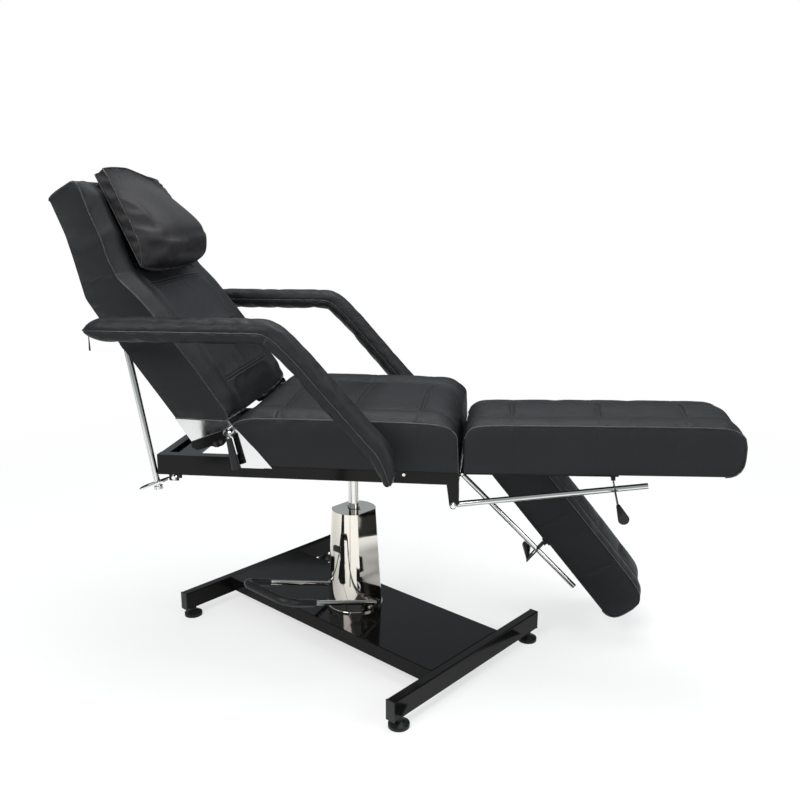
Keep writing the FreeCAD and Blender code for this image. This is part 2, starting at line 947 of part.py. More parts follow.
# Lift ram and the hub that swivels on it, with the plate that carries the seat frame.
node("lift_ram", BASE, group(rod("z", ZERO, ZERO, S.ram_foot, S.ram_radius, S.ram_top - S.ram_foot)))
hub_plate_low = S.rail_underside - S.hub_plate_sheet
hub = fused(
    rod("z", ZERO, ZERO, S.hub_underside, S.hub_radius, hub_plate_low - S.hub_underside + S.running_gap),
    box(
        -S.hub_plate_length * HALF,
        S.hub_plate_length * HALF,
        -S.hub_plate_width * HALF,
        S.hub_plate_width * HALF,
        hub_plate_low,
        S.rail_underside,
    ),
)
node(
    "swivel_hub",
    SEAT,
    cut(
        hub,
        rod(
            "z",
            ZERO,
            ZERO,
            S.hub_underside - S.cut_overrun,
            ram_bore,
            S.ram_top - S.hub_underside + S.cut_overrun + S.running_gap,
        ),
    ),
)

# Seat frame: two long rails, cross tubes between them and a plate at the head end.
rail_top = S.rail_underside + S.rail_height
rail_outer = S.frame_width * HALF
rail_inner = rail_outer - S.rail_width
prop_y = rail_outer - S.ear_gap * HALF - S.ear_sheet


def ears(x0, x1, y, z0, z1):
    """Two upright sheets with a gap between them, on a middle plane y."""
    half = S.ear_gap * HALF
    inner = box(x0, x1, y - half - S.ear_sheet, y - half, z0, z1)
    outer = box(x0, x1, y + half, y + half + S.ear_sheet, z0, z1)
    return inner, outer


lock_bolt_z = S.rail_underside - S.lock_bolt_drop
ear_half = S.bolt_radius * 3
lock_ears = ears(
    -S.lock_bolt_x - ear_half,
    -S.lock_bolt_x + ear_half,
    -prop_y,
    lock_bolt_z - S.bolt_radius * 2,
    S.rail_underside,
)
bolt_clear = S.bolt_radius + S.running_gap
ear_reach = S.ear_gap * HALF + S.ear_sheet + S.cut_overrun


def rail(side):
    low = -rail_outer if side < 0 else rail_inner
    hollow_low = -S.rail_rear + S.tube_wall
    hollow_high = S.rail_front - S.tube_wall
    outside = box(-S.rail_rear, S.rail_front, low, low + S.rail_width, S.rail_underside, rail_top)
    hollow = box(
        hollow_low,
        hollow_high,
        low + S.tube_wall,
        low + S.rail_width - S.tube_wall,
        S.rail_underside + S.tube_wall,
        rail_top - S.tube_wall,
    )
    return outside, hollow


def bracket_holes(side):
    """Bores in the rail's outer wall for the two bolts of the armrest's plate."""
    y = -rail_outer - S.cut_overrun if side < 0 else rail_outer - S.tube_wall - S.cut_overrun
    return [
        rod(
            "y",
            S.armrest_foot_x + offset,
            y,
            S.armrest_foot_z,
            S.small_bolt_radius + S.running_gap,
            S.tube_wall + S.cut_overrun * 2,
        )
        for offset in (-armrest_bolt_offset, armrest_bolt_offset)
    ]


armrest_bolt_offset = S.armrest_plate_length * 0.38
outside, hollow = rail(-1)
lock_bore = rod("y", -S.lock_bolt_x, -prop_y - ear_reach, lock_bolt_z, bolt_clear, ear_reach * 2)
node(
    "rail_right",
    SEAT,
    cut(fused(outside, *lock_ears), hollow, lock_bore, *bracket_holes(-1)),
)
outside, hollow = rail(1)
node("rail_left", SEAT, cut(outside, hollow, *bracket_holes(1)))


def cross_tube(x0):
    return tube_body(
        "y",
        -rail_inner,
        rail_inner,
        (x0, S.rail_underside),
        (x0 + S.rail_width, rail_top),
        S.tube_wall,
    )


# The front cross tube carries the fixed knuckles of the leg hinge on its face.
knuckle_places = [
    (-rail_outer, S.knuckle_length * HALF),
    (-S.knuckle_length * HALF, S.knuckle_length),
    (rail_outer - S.knuckle_length * HALF, S.knuckle_length * HALF),
]
pin_clear = S.hinge_pin_radius + S.running_gap
knuckle_solids = []
for start, length in knuckle_places:
    tongue = box(
        S.rail_front,
        S.leg_hinge_x,
        start,
        start + length,
        S.leg_hinge_z - S.knuckle_radius,
        S.leg_hinge_z,
    )
    knuckle_solids.append(tongue)
    knuckle_solids.append(rod("y", S.leg_hinge_x, start, S.leg_hinge_z, S.knuckle_radius, length))
pin_bore = rod(
    "y",
    S.leg_hinge_x,
    -rail_outer - S.cut_overrun,
    S.leg_hinge_z,
    pin_clear,
    S.frame_width + S.cut_overrun * 2,
)
front_flange = box(
    S.rail_front,
    S.rail_front + S.tube_wall,
    -rail_outer,
    rail_outer,
    S.leg_hinge_z - S.knuckle_radius,
    S.leg_hinge_z + S.knuckle_radius,
)
node("front_cross_tube", SEAT, cross_tube(S.rail_front - S.rail_width))
node("leg_hinge_base", SEAT, cut(fused(front_flange, *knuckle_solids), pin_bore))
node("head_cross_tube", SEAT, cross_tube(-S.rail_rear))
mid_tubes = [cross_tube(centre_y(side, S.mid_tube_offset) - S.rail_width * HALF) for side in (-1, 1)]
node("mid_cross_tubes", SEAT, group(*mid_tubes))
head_plate_low = rail_top - S.head_plate_drop - S.head_plate_sheet
node(
    "head_cross_plate",
    SEAT,
    group(
        box(
            -S.rail_rear + S.rail_width,
            -S.rail_rear + S.rail_width + S.head_plate_length,
            -rail_inner,
            rail_inner,
            head_plate_low,
            head_plate_low + S.head_plate_sheet,
        )
    ),
)
node(
    "leg_hinge_pin",
    SEAT,
    group(rod("y", S.leg_hinge_x, -rail_outer, S.leg_hinge_z, S.hinge_pin_radius, S.frame_width)),
)


# Cushions: a closed side outline at each of several stations across the width, lofted in strips, so
# that each long seam is a crease and each strip swells between its seams.
def arc_edge(start, end, sagitta):
    """A shallow arc over the chord from start to end, its middle raised by sagitta."""
    chord = end - start
    normal = Vector(chord.z, 0, -chord.x).normalize()
    if normal.z < 0:
        normal = normal * -1
    middle = start + chord * HALF + normal * sagitta
    return Part.Arc(start, middle, end).toShape()


def line_edge(start, end):
    return Part.LineSegment(start, end).toShape()


def strip(wires):
    return Part.makeLoft(wires, True, False)


def cushion(stations, outline):
    """stations: groups of (y, rise, puff); outline(y, rise, puff) gives the closed wire there."""
    solids = [strip([outline(y, rise, puff) for y, rise, puff in group_]) for group_ in stations]
    shape = solids[0]
    for solid in solids[1:]:
        shape = shape.fuse(solid)
    return shape.removeSplitter()


def width_stations(low, high, inset, seam_rise, crown, seam_puff, puff, border_puff):
    """Three strips: an edge strip on each side of the two long seams and the middle one."""
    middle = (low + high) * HALF
    edge_crown = seam_rise * 0.75 + border_puff
    left = [(low, 0.0, seam_puff), (low + inset * 0.45, edge_crown, seam_puff * 1.4)]
    left.append((low + inset, seam_rise, seam_puff))
    centre = [(low + inset, seam_rise, seam_puff), (middle, crown, puff), (high - inset, seam_rise, seam_puff)]
    right = [(high - inset, seam_rise, seam_puff), (high - inset * 0.45, edge_crown, seam_puff * 1.4)]
    right.append((high, 0.0, seam_puff))
    return [left, centre, right]


def profile(y, points, arcs):
    """A closed wire at y: arcs maps an edge's index to a sagitta or to a point on the arc."""
    edges = []
    corners = [Vector(x, y, z) for x, z in points]
    for i, start in enumerate(corners):
        end = corners[(i + 1) % len(corners)]
        bend = arcs.get(i)
        if bend is None:
            edges.append(line_edge(start, end))
        elif isinstance(bend, tuple):
            edges.append(Part.Arc(start, Vector(bend[0], y, bend[1]), end).toShape())
        else:
            edges.append(arc_edge(start, end, bend))
    return Part.Wire(edges)


# Seat: a plywood board on the rails and the cushion whose skirts hang outside the rails.
seat_half = rail_outer + S.seat_skirt
seat_channel_share = (0.197, 0.517, 0.824)


def seat_outline(y, rise, puff):
    rear = -S.seat_rear.value
    low = S.seat_underside.value
    length = S.seat_length.value
    depth = S.seat_thickness.value

    def at(x_share, z_share, lift=1.0):
        return (rear + length * x_share, low + depth * z_share + rise * lift)

    points = [at(1.0, 0.0, 0.0), at(0.165, 0.0, 0.0), at(0.0, 0.85, 0.25), at(0.085, 0.985)]
    points += [at(share, 0.99) for share in seat_channel_share]
    points += [at(0.875, 0.985), at(0.996, 0.68, 0.2)]
    arcs = {2: at(0.035, 0.945, 0.65), 3: puff * 0.4, 4: puff, 5: puff, 6: puff * 0.4}
    arcs[7] = at(0.965, 0.895, 0.7)
    return profile(y, points, arcs)


def value_box(x0, x1, y0, y1, z0, z1):
    """A cutting box from sizes, for the forms that are set from the sheet in code."""
    low = Vector(x0.value, y0.value, z0.value)
    return Part.makeBox(x1.value - x0.value, y1.value - y0.value, z1.value - z0.value, low)


seat_front = S.seat_length - S.seat_rear
board_half = rail_outer - S.board_inset
seat_board_rear = S.rail_front - S.seat_length * 0.86
seat_board_front = S.rail_front - S.rail_width
board_top = rail_top + S.board_sheet
seat_shape = cushion(
    width_stations(
        -seat_half.value,
        seat_half.value,
        S.seat_seam_inset.value,
        S.seat_seam_rise.value,
        S.seat_crown.value,
        S.seam_puff.value,
        S.seat_puff.value,
        S.seat_border_puff.value,
    ),
    seat_outline,
)
rail_room = value_box(
    -S.rail_rear,
    S.rail_front + S.rail_width,
    -rail_outer - S.fit_gap,
    rail_outer + S.fit_gap,
    S.rail_underside,
    rail_top,
)
board_room = value_box(
    seat_board_rear,
    seat_board_front,
    -board_half,
    board_half,
    rail_top - S.cut_overrun,
    board_top,
)
node("seat_cushion", SEAT, feature(seat_shape.cut(rail_room).cut(board_room)))
node(
    "seat_board",
    SEAT,
    padded_body(
        "XY_Plane",
        rail_top,
        S.board_sheet,
        [rectangle(seat_board_rear, seat_board_front, -board_half, board_half)],
    ),
)

# Back hinge: polished side plates on the seat frame and on the back, and a black arm over each.
seat_plate_y = rail_outer
back_plate_y = seat_plate_y + S.hinge_sheet + S.layer_gap
arm_y = back_plate_y + S.hinge_sheet
pivot_clear = S.pivot_bolt_radius + S.running_gap


def plate_offset(side, inner_y, sheet):
    """Where a sheet padded along -Y starts, to fill inner_y to inner_y + sheet on its side."""
    return inner_y if side < 0 else -inner_y - sheet


def seat_hinge_plate(hand):
    side = SIDES[hand]
    eye = S.hinge_eye
    px = -S.pivot_x
    length = S.seat_plate_length
    height = S.seat_plate_height
    foot = S.rail_underside + S.rail_height * HALF
    outline = [
        (px + eye * 0.6, S.pivot_z + eye * 1.3),
        (px + length * 1.08, foot),
        (px + length * 0.24, foot),
        (px + eye * 0.4, S.pivot_z - eye * 1.5),
        (px - eye, S.pivot_z - eye * 0.7),
        (px - eye, S.pivot_z + eye * 0.7),
    ]
    plate = padded_body(
        "XZ_Plane",
        plate_offset(side, seat_plate_y, S.hinge_sheet),
        S.hinge_sheet,
        [outline],
        [(px, S.pivot_z, pivot_clear)],
    )
    trim = box(
        px + length * 1.08 - height * 0.2,
        px + length * 1.2,
        -rail_outer - S.hinge_sheet * 2,
        rail_outer + S.hinge_sheet * 2,
        foot,
        foot + S.cut_overrun * HALF,
    )
    return cut(plate, trim)


def back_hinge_plate(hand):
    side = SIDES[hand]
    eye = S.hinge_eye
    length = S.back_plate_length
    height = S.back_plate_height
    outline = [
        (-length, -height * 0.868),
        (-length * 0.22, height * 0.132),
        (eye * 0.5, eye * 0.9),
        (eye, -eye * 0.6),
        (-eye * 0.4, -height * 0.37),
        (-length * 0.21, -height * 0.9),
    ]
    return padded_body(
        "XZ_Plane",
        plate_offset(side, back_plate_y, S.hinge_sheet),
        S.hinge_sheet,
        [outline],
        [(ZERO, ZERO, pivot_clear)],
    )


arm_bolts = [(S.arm_ear * 0.5, -S.arm_bolt_high), (S.arm_ear * 0.3, -S.arm_bolt_low)]


def hinge_arm(hand):
    """A black arm on the back plate's lower edge, with an ear for two bolts."""
    side = SIDES[hand]
    half = S.arm_width * HALF
    end = S.arm_length
    shift = S.arm_lean
    outline = [
        (-half * 0.6, -S.arm_start),
        (half * 0.8, -S.arm_start),
        (half * 1.2, -S.arm_start - half * 0.6),
        (S.arm_ear, -S.arm_bolt_high),
        (S.arm_ear * 0.8, -S.arm_bolt_low),
        (S.arm_ear * 0.2, -S.arm_bolt_low - half * 0.8),
        (half - shift, -end),
        (-shift, -end - half * 0.5),
        (-half - shift, -end),
        (-half, -S.arm_start - half * 0.5),
    ]
    return padded_body(
        "XZ_Plane",
        plate_offset(side, arm_y, S.arm_sheet),
        S.arm_sheet,
        [outline],
        [(x, z, S.small_bolt_radius + S.running_gap) for x, z in arm_bolts],
    )


node("seat_hinge_plates", SEAT, group(*[seat_hinge_plate(hand) for hand in SIDES]))
node("back_hinge_plates", BACK, group(*[back_hinge_plate(hand) for hand in SIDES]))
node("hinge_arms", BACK, group(*[hinge_arm(hand) for hand in SIDES]))

# Back rest: cushion with a recess behind it for the rails, and its board.
back_channel_share = (0.13, 0.337, 0.575)
back_kink_share = 0.644


def back_outline(y, rise, puff):
    foot = -S.back_foot.value
    rear = -S.back_rear.value
    length = S.back_length.value
    depth = S.back_thickness.value

    def at(x_share, z_share, lift=1.0):
        return (foot - length * x_share, rear + depth * z_share + rise * lift)

    def at_foot(x_share, z_share, lift=1.0):
        return (foot - S.back_foot_run.value * x_share, rear + depth * z_share + rise * lift)

    points = [at_foot(1.0, 0.0, 0.0), at_foot(0.35, 0.62, 0.0), at(0.0, 0.874, 0.15), at_foot(0.405, 0.968)]
    points += [at(back_channel_share[0], 0.985), at(back_channel_share[1], 1.0)]
    points += [at(back_channel_share[2], 0.955), at(back_kink_share, 0.90)]
    points += [at(0.981, 1.42, 0.4), at(1.0, 0.9, 0.0), at(0.991, 0.75, 0.0)]
    points += [at(0.794, 0.39, 0.0), at(0.66, 0.075, 0.0)]
    arcs = {2: at_foot(0.146, 0.935, 0.75), 3: puff * 0.4, 4: puff, 5: puff, 6: puff * 0.3, 7: 3.0, 9: 1.5}
    return profile(y, points, arcs)


back_shape = cushion(
    width_stations(
        -seat_half.value,
        seat_half.value,
        S.back_seam_inset.value,
        S.back_seam_rise.value,
        S.back_crown.value,
        S.seam_puff.value,
        S.back_puff.value,
        S.back_border_puff.value,
    ),
    back_outline,
)
back_recess_top = S.back_recess - S.back_rear
back_kink = S.back_foot + S.back_length * back_kink_share
back_recess_length = back_kink + S.back_recess_past
back_rail_room = value_box(
    -back_recess_length,
    S.back_foot,
    -rail_outer - S.fit_gap,
    rail_outer + S.fit_gap,
    -S.back_rear - S.cut_overrun,
    back_recess_top,
)
back_board_room = value_box(
    -back_recess_length,
    -S.back_board_start,
    -board_half,
    board_half,
    back_recess_top - S.cut_overrun,
    back_recess_top + S.board_sheet,
)
node("back_cushion", BACK, feature(back_shape.cut(back_rail_room).cut(back_board_room)))
node(
    "back_board",
    BACK,
    padded_body(
        "XY_Plane",
        back_recess_top,
        S.board_sheet,
        [rectangle(-back_recess_length, -S.back_board_start, -board_half, board_half)],
    ),
)

# Head pillow: a crowned pad that lies on the upper part of the back rest.
pillow_half = S.pillow_width * HALF
pillow_foot = back_kink - S.pillow_lap


def pillow_outline(y, swell, puff):
    """The outline at y; swell is 0 at the piped edges and 1 in the middle."""
    foot = -pillow_foot.value
    length = S.pillow_length.value
    rise = math.tan(math.radians(S.pillow_rest_slope.value))
    full = S.pillow_thickness.value
    edge = S.pillow_edge.value
    rest = S.pillow_rest_foot.value

    def at(x_share, z_share):
        x = foot - length * x_share
        return (x, rest + (foot - x) * rise + full * z_share)

    points = [
        at(0.06 - 0.06 * swell, 0.0),
        at(0.06 - 0.11 * swell, 0.05 + 0.5 * swell),
        at(0.24 - 0.04 * swell, edge + (1.0 - edge) * swell),
        at(0.9 - 0.01 * swell, edge * (1.0 + 0.1 * swell)),
        at(0.91 + 0.04 * swell, edge * HALF),
        at(0.905 + 0.04 * swell, 0.0),
    ]
    arcs = {1: at(0.11 - 0.12 * swell, 0.23 + 0.64 * swell), 2: puff}
    return profile(y, points, arcs)


pillow_stations = [
    [
        (-pillow_half.value, 0.0, S.seam_puff.value),
        (-pillow_half.value * 0.6, 0.82, S.back_puff.value * 0.8),
        (0.0, 1.0, S.back_puff.value),
        (pillow_half.value * 0.6, 0.82, S.back_puff.value * 0.8),
        (pillow_half.value, 0.0, S.seam_puff.value),
    ]
]
node("head_pillow", BACK, feature(cushion(pillow_stations, pillow_outline)))

# Back prop: a rod hung from a bracket on the back board, held by a tilting lock plate on the rail.
prop_x = -S.prop_pivot_reach
prop_z = -S.prop_pivot_drop
prop_ears = ears(
    prop_x - S.prop_eye_radius,
    prop_x + S.prop_eye_radius,
    -prop_y,
    prop_z - S.bolt_radius * 1.6,
    back_recess_top - S.ear_sheet,
)
prop_base = box(
    prop_x - S.prop_eye_radius * 2,
    prop_x + S.prop_eye_radius * 2,
    -prop_y - S.ear_gap * HALF - S.ear_sheet,
    -prop_y + S.ear_gap * HALF + S.ear_sheet,
    back_recess_top - S.ear_sheet,
    back_recess_top,
)
prop_bore = rod("y", prop_x, -prop_y - ear_reach, prop_z, bolt_clear, ear_reach * 2)
node("prop_bracket", BACK, cut(fused(prop_base, *prop_ears), prop_bore))

prop_pivot_x, prop_pivot_z = BACK.point(prop_x, prop_z)
PROP = Frame(prop_pivot_x, prop_pivot_z, S.prop_lean, sense=-1)
eye_width = S.ear_gap - S.fit_gap * 2
prop_eye = rod("y", ZERO, -prop_y - eye_width * HALF, ZERO, S.prop_eye_radius, eye_width)
prop_shank = rod("z", ZERO, -prop_y, -S.prop_length, S.prop_radius, S.prop_length)
prop_nut = rod("z", ZERO, -prop_y, -S.prop_length - S.prop_nut_height, S.prop_nut_radius, S.prop_nut_height)
prop_eye_bore = rod("y", ZERO, -prop_y - ear_reach, ZERO, bolt_clear, ear_reach * 2)
node("back_rod", PROP, cut(fused(prop_eye, prop_shank, prop_nut), prop_eye_bore))

# Lock plate: its neck hangs on the bolt under the rail, and its slot grips the rod.
LOCK = Frame(column_x - S.lock_bolt_x, lock_bolt_z, S.lock_slope, sense=-1)
neck_half = (S.ear_gap - S.fit_gap * 2) * HALF
lock_half = S.lock_width * HALF
rod_room = S.prop_radius + S.fit_gap
lock_plate = padded_body(
    "XY_Plane",
    -S.lock_sheet * HALF,
    S.lock_sheet,
    [
        [
            (ZERO, -prop_y - neck_half),
            (ZERO, -prop_y + neck_half),
            (-S.lock_neck, -prop_y + neck_half),
            (-S.lock_neck - S.lock_neck * 0.6, -prop_y + lock_half),
            (-S.lock_length + S.lock_neck * 0.4, -prop_y + lock_half),
            (-S.lock_length, -prop_y + lock_half * 0.5),
            (-S.lock_length, -prop_y - lock_half * 0.5),
            (-S.lock_length + S.lock_neck * 0.4, -prop_y - lock_half),
            (-S.lock_neck - S.lock_neck * 0.6, -prop_y - lock_half),
            (-S.lock_neck, -prop_y - neck_half),
        ],
        rectangle(
            -S.lock_slot_start - S.lock_slot_length,
            -S.lock_slot_start,
            -prop_y - rod_room,
            -prop_y + rod_room,
        ),
    ],
)
lock_eye = rod("y", ZERO, -prop_y - neck_half, ZERO, S.lock_eye_radius, neck_half * 2)
lock_eye_bore = rod("y", ZERO, -prop_y - ear_reach, ZERO, bolt_clear, ear_reach * 2)
node("back_lock_plate", LOCK, cut(fused(lock_plate, lock_eye), lock_eye_bore))

# Release lever: a hub with a pin on the back rest's right pivot bolt, and a tapered grip on the pin.
lever_pin_share = 0.8
LEVER = Frame(column_x - S.pivot_x, S.pivot_z, S.grip_lean, sense=-1)
hub_inner = arm_y + S.layer_gap
hub_outer = hub_inner + S.lever_hub_length
lever_y = hub_inner + S.lever_hub_length * lever_pin_share
lever_hub = rod("y", ZERO, -hub_outer, ZERO, S.lever_hub_radius, S.lever_hub_length)
lever_pin = rod("z", ZERO, -lever_y, -S.lever_pin_length, S.lever_pin_radius, S.lever_pin_length)
lever_bore = rod(
    "y",
    ZERO,
    -hub_outer - S.cut_overrun,
    ZERO,
    pivot_clear,
    S.lever_hub_length + S.cut_overrun * 2,
)
node("lever_hub", LEVER, cut(fused(lever_hub, lever_pin), lever_bore))
lever_grip = taper(
    "z",
    ZERO,
    -lever_y,
    -S.grip_end,
    S.grip_end_radius,
    S.grip_top_radius,
    S.grip_end - S.grip_start,
)
lever_socket = rod(
    "z",
    ZERO,
    -lever_y,
    -S.lever_pin_length - S.running_gap,
    S.lever_pin_radius + S.running_gap,
    S.lever_pin_length,
)
node("release_lever", LEVER, cut(lever_grip, lever_socket))

# Leg props: a bracket under the frame for each rod.
LEG_PROP_Y = {"right": -prop_y, "left": S.left_prop_y}


def rod_bracket(hand):
    """Two tapered ears under a top sheet; the rod's eye turns between them."""
    y = LEG_PROP_Y[hand]
    half = S.ear_gap * HALF
    x0 = S.rail_front - S.prop_bracket_length
    top = S.rail_underside
    tip = S.prop_bracket_z
    nose = S.leg_rod_eye_radius
    outline = [
        (x0, top),
        (S.rail_front, top),
        (S.rail_front, tip + nose * 0.5),
        (S.prop_bracket_x + nose, tip),
        (S.prop_bracket_x + nose * HALF, tip - nose * 0.8),
        (S.prop_bracket_x - nose * HALF, tip - nose * 0.8),
        (S.prop_bracket_x - nose, tip),
    ]
    hole = [(S.prop_bracket_x, S.prop_bracket_z, bolt_clear)]
    near = padded_body("XZ_Plane", -(y - half), S.ear_sheet, [outline], hole)
    far = padded_body("XZ_Plane", -(y + half + S.ear_sheet), S.ear_sheet, [outline], hole)
    bridge = box(x0, S.rail_front, y - half, y + half, top - S.ear_sheet, top)
    node("rod_bracket_" + hand, SEAT, fused(near, far, bridge))


def leg_rod(hand):
    side = SIDES[hand]
    y = LEG_PROP_Y[hand]
    pivot_x = column_x + S.prop_bracket_x
    catch_x, catch_z = LEG[hand].point(S.catch_reach, -S.catch_drop)
    rise = catch_z - S.prop_bracket_z if side < 0 else S.prop_bracket_z - catch_z
    frame = Frame(pivot_x, S.prop_bracket_z, slope_angle(rise, catch_x - pivot_x), sense=side)
    eye = rod("y", ZERO, y - eye_width * HALF, ZERO, S.leg_rod_eye_radius, eye_width)
    shank = rod("x", ZERO, y, ZERO, S.leg_rod_radius, S.leg_rod_length)
    bore = rod("y", ZERO, y - ear_reach, ZERO, bolt_clear, ear_reach * 2)
    node("leg_rod_" + hand, frame, cut(fused(eye, shank), bore))


# Leg rests: cushion, board, hinge leaf with a strap to the catch, and the catch with its knob.
leg_channel_share = (0.187, 0.535, 0.85)


def leg_outline(y, rise, puff):
    start = S.leg_start.value
    low = S.leg_lift.value
    length = S.leg_length.value
    depth = S.leg_thickness.value

    def at(x_share, z_share, lift=1.0):
        return (start + length * x_share, low + depth * z_share + rise * lift)

    points = [at(0.94, 0.0, 0.0), at(0.0, 0.0, 0.0), at(0.006, 0.78, 0.2), at(0.06, 0.985)]
    points += [at(share, 1.0) for share in leg_channel_share]
    points += [at(0.952, 0.99), at(0.998, 0.74, 0.2), at(1.0, 0.42, 0.0)]
    arcs = {2: at(0.018, 0.93, 0.7), 3: puff * 0.5, 4: puff, 5: puff, 6: puff * 0.5}
    arcs[7] = at(0.985, 0.925, 0.75)
    arcs[9] = at(0.985, 0.11, 0.0)
    return profile(y, points, arcs)


leg_width = seat_half - S.leg_split * HALF


def leg_rest(hand):
    side = SIDES[hand]
    frame = LEG[hand]
    low = S.leg_split * HALF if side > 0 else -S.leg_split * HALF - leg_width
    high = low + leg_width
    board_low = low + S.leg_board_inset
    board_high = high - S.leg_board_inset
    board_start = S.leg_board_margin
    board_end = S.leg_length - S.leg_board_margin * 2
    shape = cushion(
        width_stations(
            low.value,
            high.value,
            S.leg_seam_inset.value,
            S.leg_seam_rise.value,
            S.leg_crown.value,
            S.seam_puff.value,
            S.leg_puff.value,
            S.leg_border_puff.value,
        ),
        leg_outline,
    )
    room = value_box(
        board_start,
        board_end,
        board_low,
        board_high,
        S.leg_lift - S.cut_overrun,
        S.leg_lift + S.board_sheet,
    )
    node("leg_cushion_" + hand, frame, feature(shape.cut(room)))
    board = padded_body(
        "XY_Plane",
        S.leg_lift,
        S.board_sheet,
        [rectangle(board_start, board_end, board_low, board_high)],
    )
    node("leg_board_" + hand, frame, board)

    rod_y = LEG_PROP_Y[hand]
    strap_low = rod_y - S.strap_width * HALF
    strap_high = rod_y + S.strap_width * HALF
    leaf_low = low + S.leg_board_inset + S.knuckle_length * HALF
    leaf_high = high - S.leg_board_inset - S.knuckle_length * HALF
    leaf_top = S.leg_lift - S.fit_gap
    leaf_start = S.knuckle_radius
    pivot_z = -S.catch_pivot_drop
    pivot_x = S.catch_reach - (S.catch_drop - S.catch_pivot_drop) * sine(S.catch_lean)
    strap_end = pivot_x + S.catch_knuckle_radius * 3
    leaf = box(ZERO, S.leaf_length, leaf_low, leaf_high, leaf_top - S.leaf_sheet, leaf_top)
    strap = box(leaf_start, strap_end, strap_low, strap_high, leaf_top - S.leaf_sheet, leaf_top)
    knuckle = rod("y", ZERO, leaf_low, ZERO, S.knuckle_radius, leaf_high - leaf_low)
    ear_x = S.catch_knuckle_radius + S.catch_pin_radius * HALF
    ear_top = leaf_top - S.leaf_sheet * HALF
    catch_half = S.catch_width * HALF
    ears_out = [
        box(pivot_x - ear_x, pivot_x + ear_x, y, y + S.ear_sheet * HALF, pivot_z - ear_x * 0.7, ear_top)
        for y in (rod_y - catch_half - S.ear_sheet * HALF, rod_y + catch_half)
    ]
    catch_pin = rod(
        "y",
        pivot_x,
        rod_y - catch_half - S.ear_sheet * HALF,
        pivot_z,
        S.catch_pin_radius,
        S.catch_width + S.ear_sheet,
    )
    pin_hole = rod("y", ZERO, low, ZERO, pin_clear, leg_width)
    solid = cut(fused(leaf, strap, knuckle, catch_pin, *ears_out), pin_hole)
    node("leg_hinge_leaf_" + hand, frame, solid)

    tilt = S.catch_lean
    run = sine(tilt)
    fall = cosine(tilt)
    long = (S.catch_drop - S.catch_pivot_drop) / fall + S.catch_tail
    half = S.catch_sheet * HALF
    inner_half = catch_half - S.fit_gap
    tip_x = pivot_x + run * long
    tip_z = pivot_z - fall * long
    outline = [
        (pivot_x - half, pivot_z),
        (pivot_x + half, pivot_z),
        (tip_x + half, tip_z),
        (tip_x - half, tip_z),
    ]
    blade = padded_body("XZ_Plane", -(rod_y + inner_half), inner_half * 2, [outline])
    eye = rod("y", pivot_x, rod_y - inner_half, pivot_z, S.catch_knuckle_radius, inner_half * 2)
    eye_hole = rod(
        "y",
        pivot_x,
        rod_y - catch_half,
        pivot_z,
        S.catch_pin_radius + S.running_gap,
        S.catch_width,
    )
    slot = box(
        S.catch_reach - S.catch_tail,
        S.catch_reach + S.catch_tail,
        rod_y - S.leg_rod_radius - S.fit_gap,
        rod_y + S.leg_rod_radius + S.fit_gap,
        -S.catch_drop - S.leg_rod_radius - S.catch_play,
        -S.catch_drop + S.leg_rod_radius + S.fit_gap * 3,
    )
    knob_side = -1 if side < 0 else 1
    knob_start = rod_y + inner_half * knob_side
    knob_z = tip_z + S.knob_neck_radius
    knob_x = tip_x - run * S.knob_neck_radius
    if knob_side < 0:
        knob = taper(
            "y",
            knob_x,
            knob_start - S.knob_length,
            knob_z,
            S.knob_end_radius,
            S.knob_neck_radius,
            S.knob_length,
        )
    else:
        knob = taper(
            "y",
            knob_x,
            knob_start,
            knob_z,
            S.knob_neck_radius,
            S.knob_end_radius,
            S.knob_length,
        )
    node("leg_catch_" + hand, frame, cut(fused(blade, eye), eye_hole, slot))
    node("leg_knob_" + hand, frame, group(knob))


for hand in SIDES:
    rod_bracket(hand)
    leg_rod(hand)
    leg_rest(hand)


# Armrests: a bent steel tube with a foot plate on the rail, inside a long padded sleeve.
def armrest_line():
    """The sleeve's middle line: corner points in x and z from its rear end to its foot."""
    rear = -S.armrest_rear.value
    foot = S.armrest_foot_x.value
    knee_z = S.armrest_foot_z.value + S.armrest_foot_run.value
    return [
        (rear, S.armrest_height.value),
        (-S.armrest_bend_x.value, S.armrest_height.value),
        (foot - S.armrest_foot_run.value * 0.2, knee_z),
        (foot, S.armrest_foot_z.value),
    ]


def pad_section(x, y, z, angle, thickness, width):
    """A rounded rectangle across the sleeve's line; angle turns it about Y."""
    turn = Rotation(Vector(0, 1, 0), angle)
    along_width = Vector(0, width * HALF, 0)
    along_depth = turn.multVec(Vector(0, 0, thickness * HALF))
    centre = Vector(x, y, z)
    corner_share = 0.55
    edges = []
    sides = [(1, 1), (1, -1), (-1, -1), (-1, 1)]
    for i, (a, b) in enumerate(sides):
        following = sides[(i + 1) % 4]
        corner = centre + along_width * a + along_depth * b
        turns_width = a != following[0]
        keep_a = along_width * (a * (1 - corner_share)) + along_depth * b
        keep_b = along_width * a + along_depth * (b * (1 - corner_share))
        first, last = (keep_b, keep_a) if turns_width else (keep_a, keep_b)
        first = centre + first
        last = centre + last
        middle = first * 0.29 + last * 0.29 + corner * 0.42
        edges.append(Part.Arc(first, middle, last).toShape())
        next_width = along_width * following[0]
        next_depth = along_depth * following[1]
        if turns_width:
            target = centre + next_width * (1 - corner_share) + next_depth
        else:
            target = centre + next_width + next_depth * (1 - corner_share)
        edges.append(Part.LineSegment(last, target).toShape())
    return Part.Wire(edges)


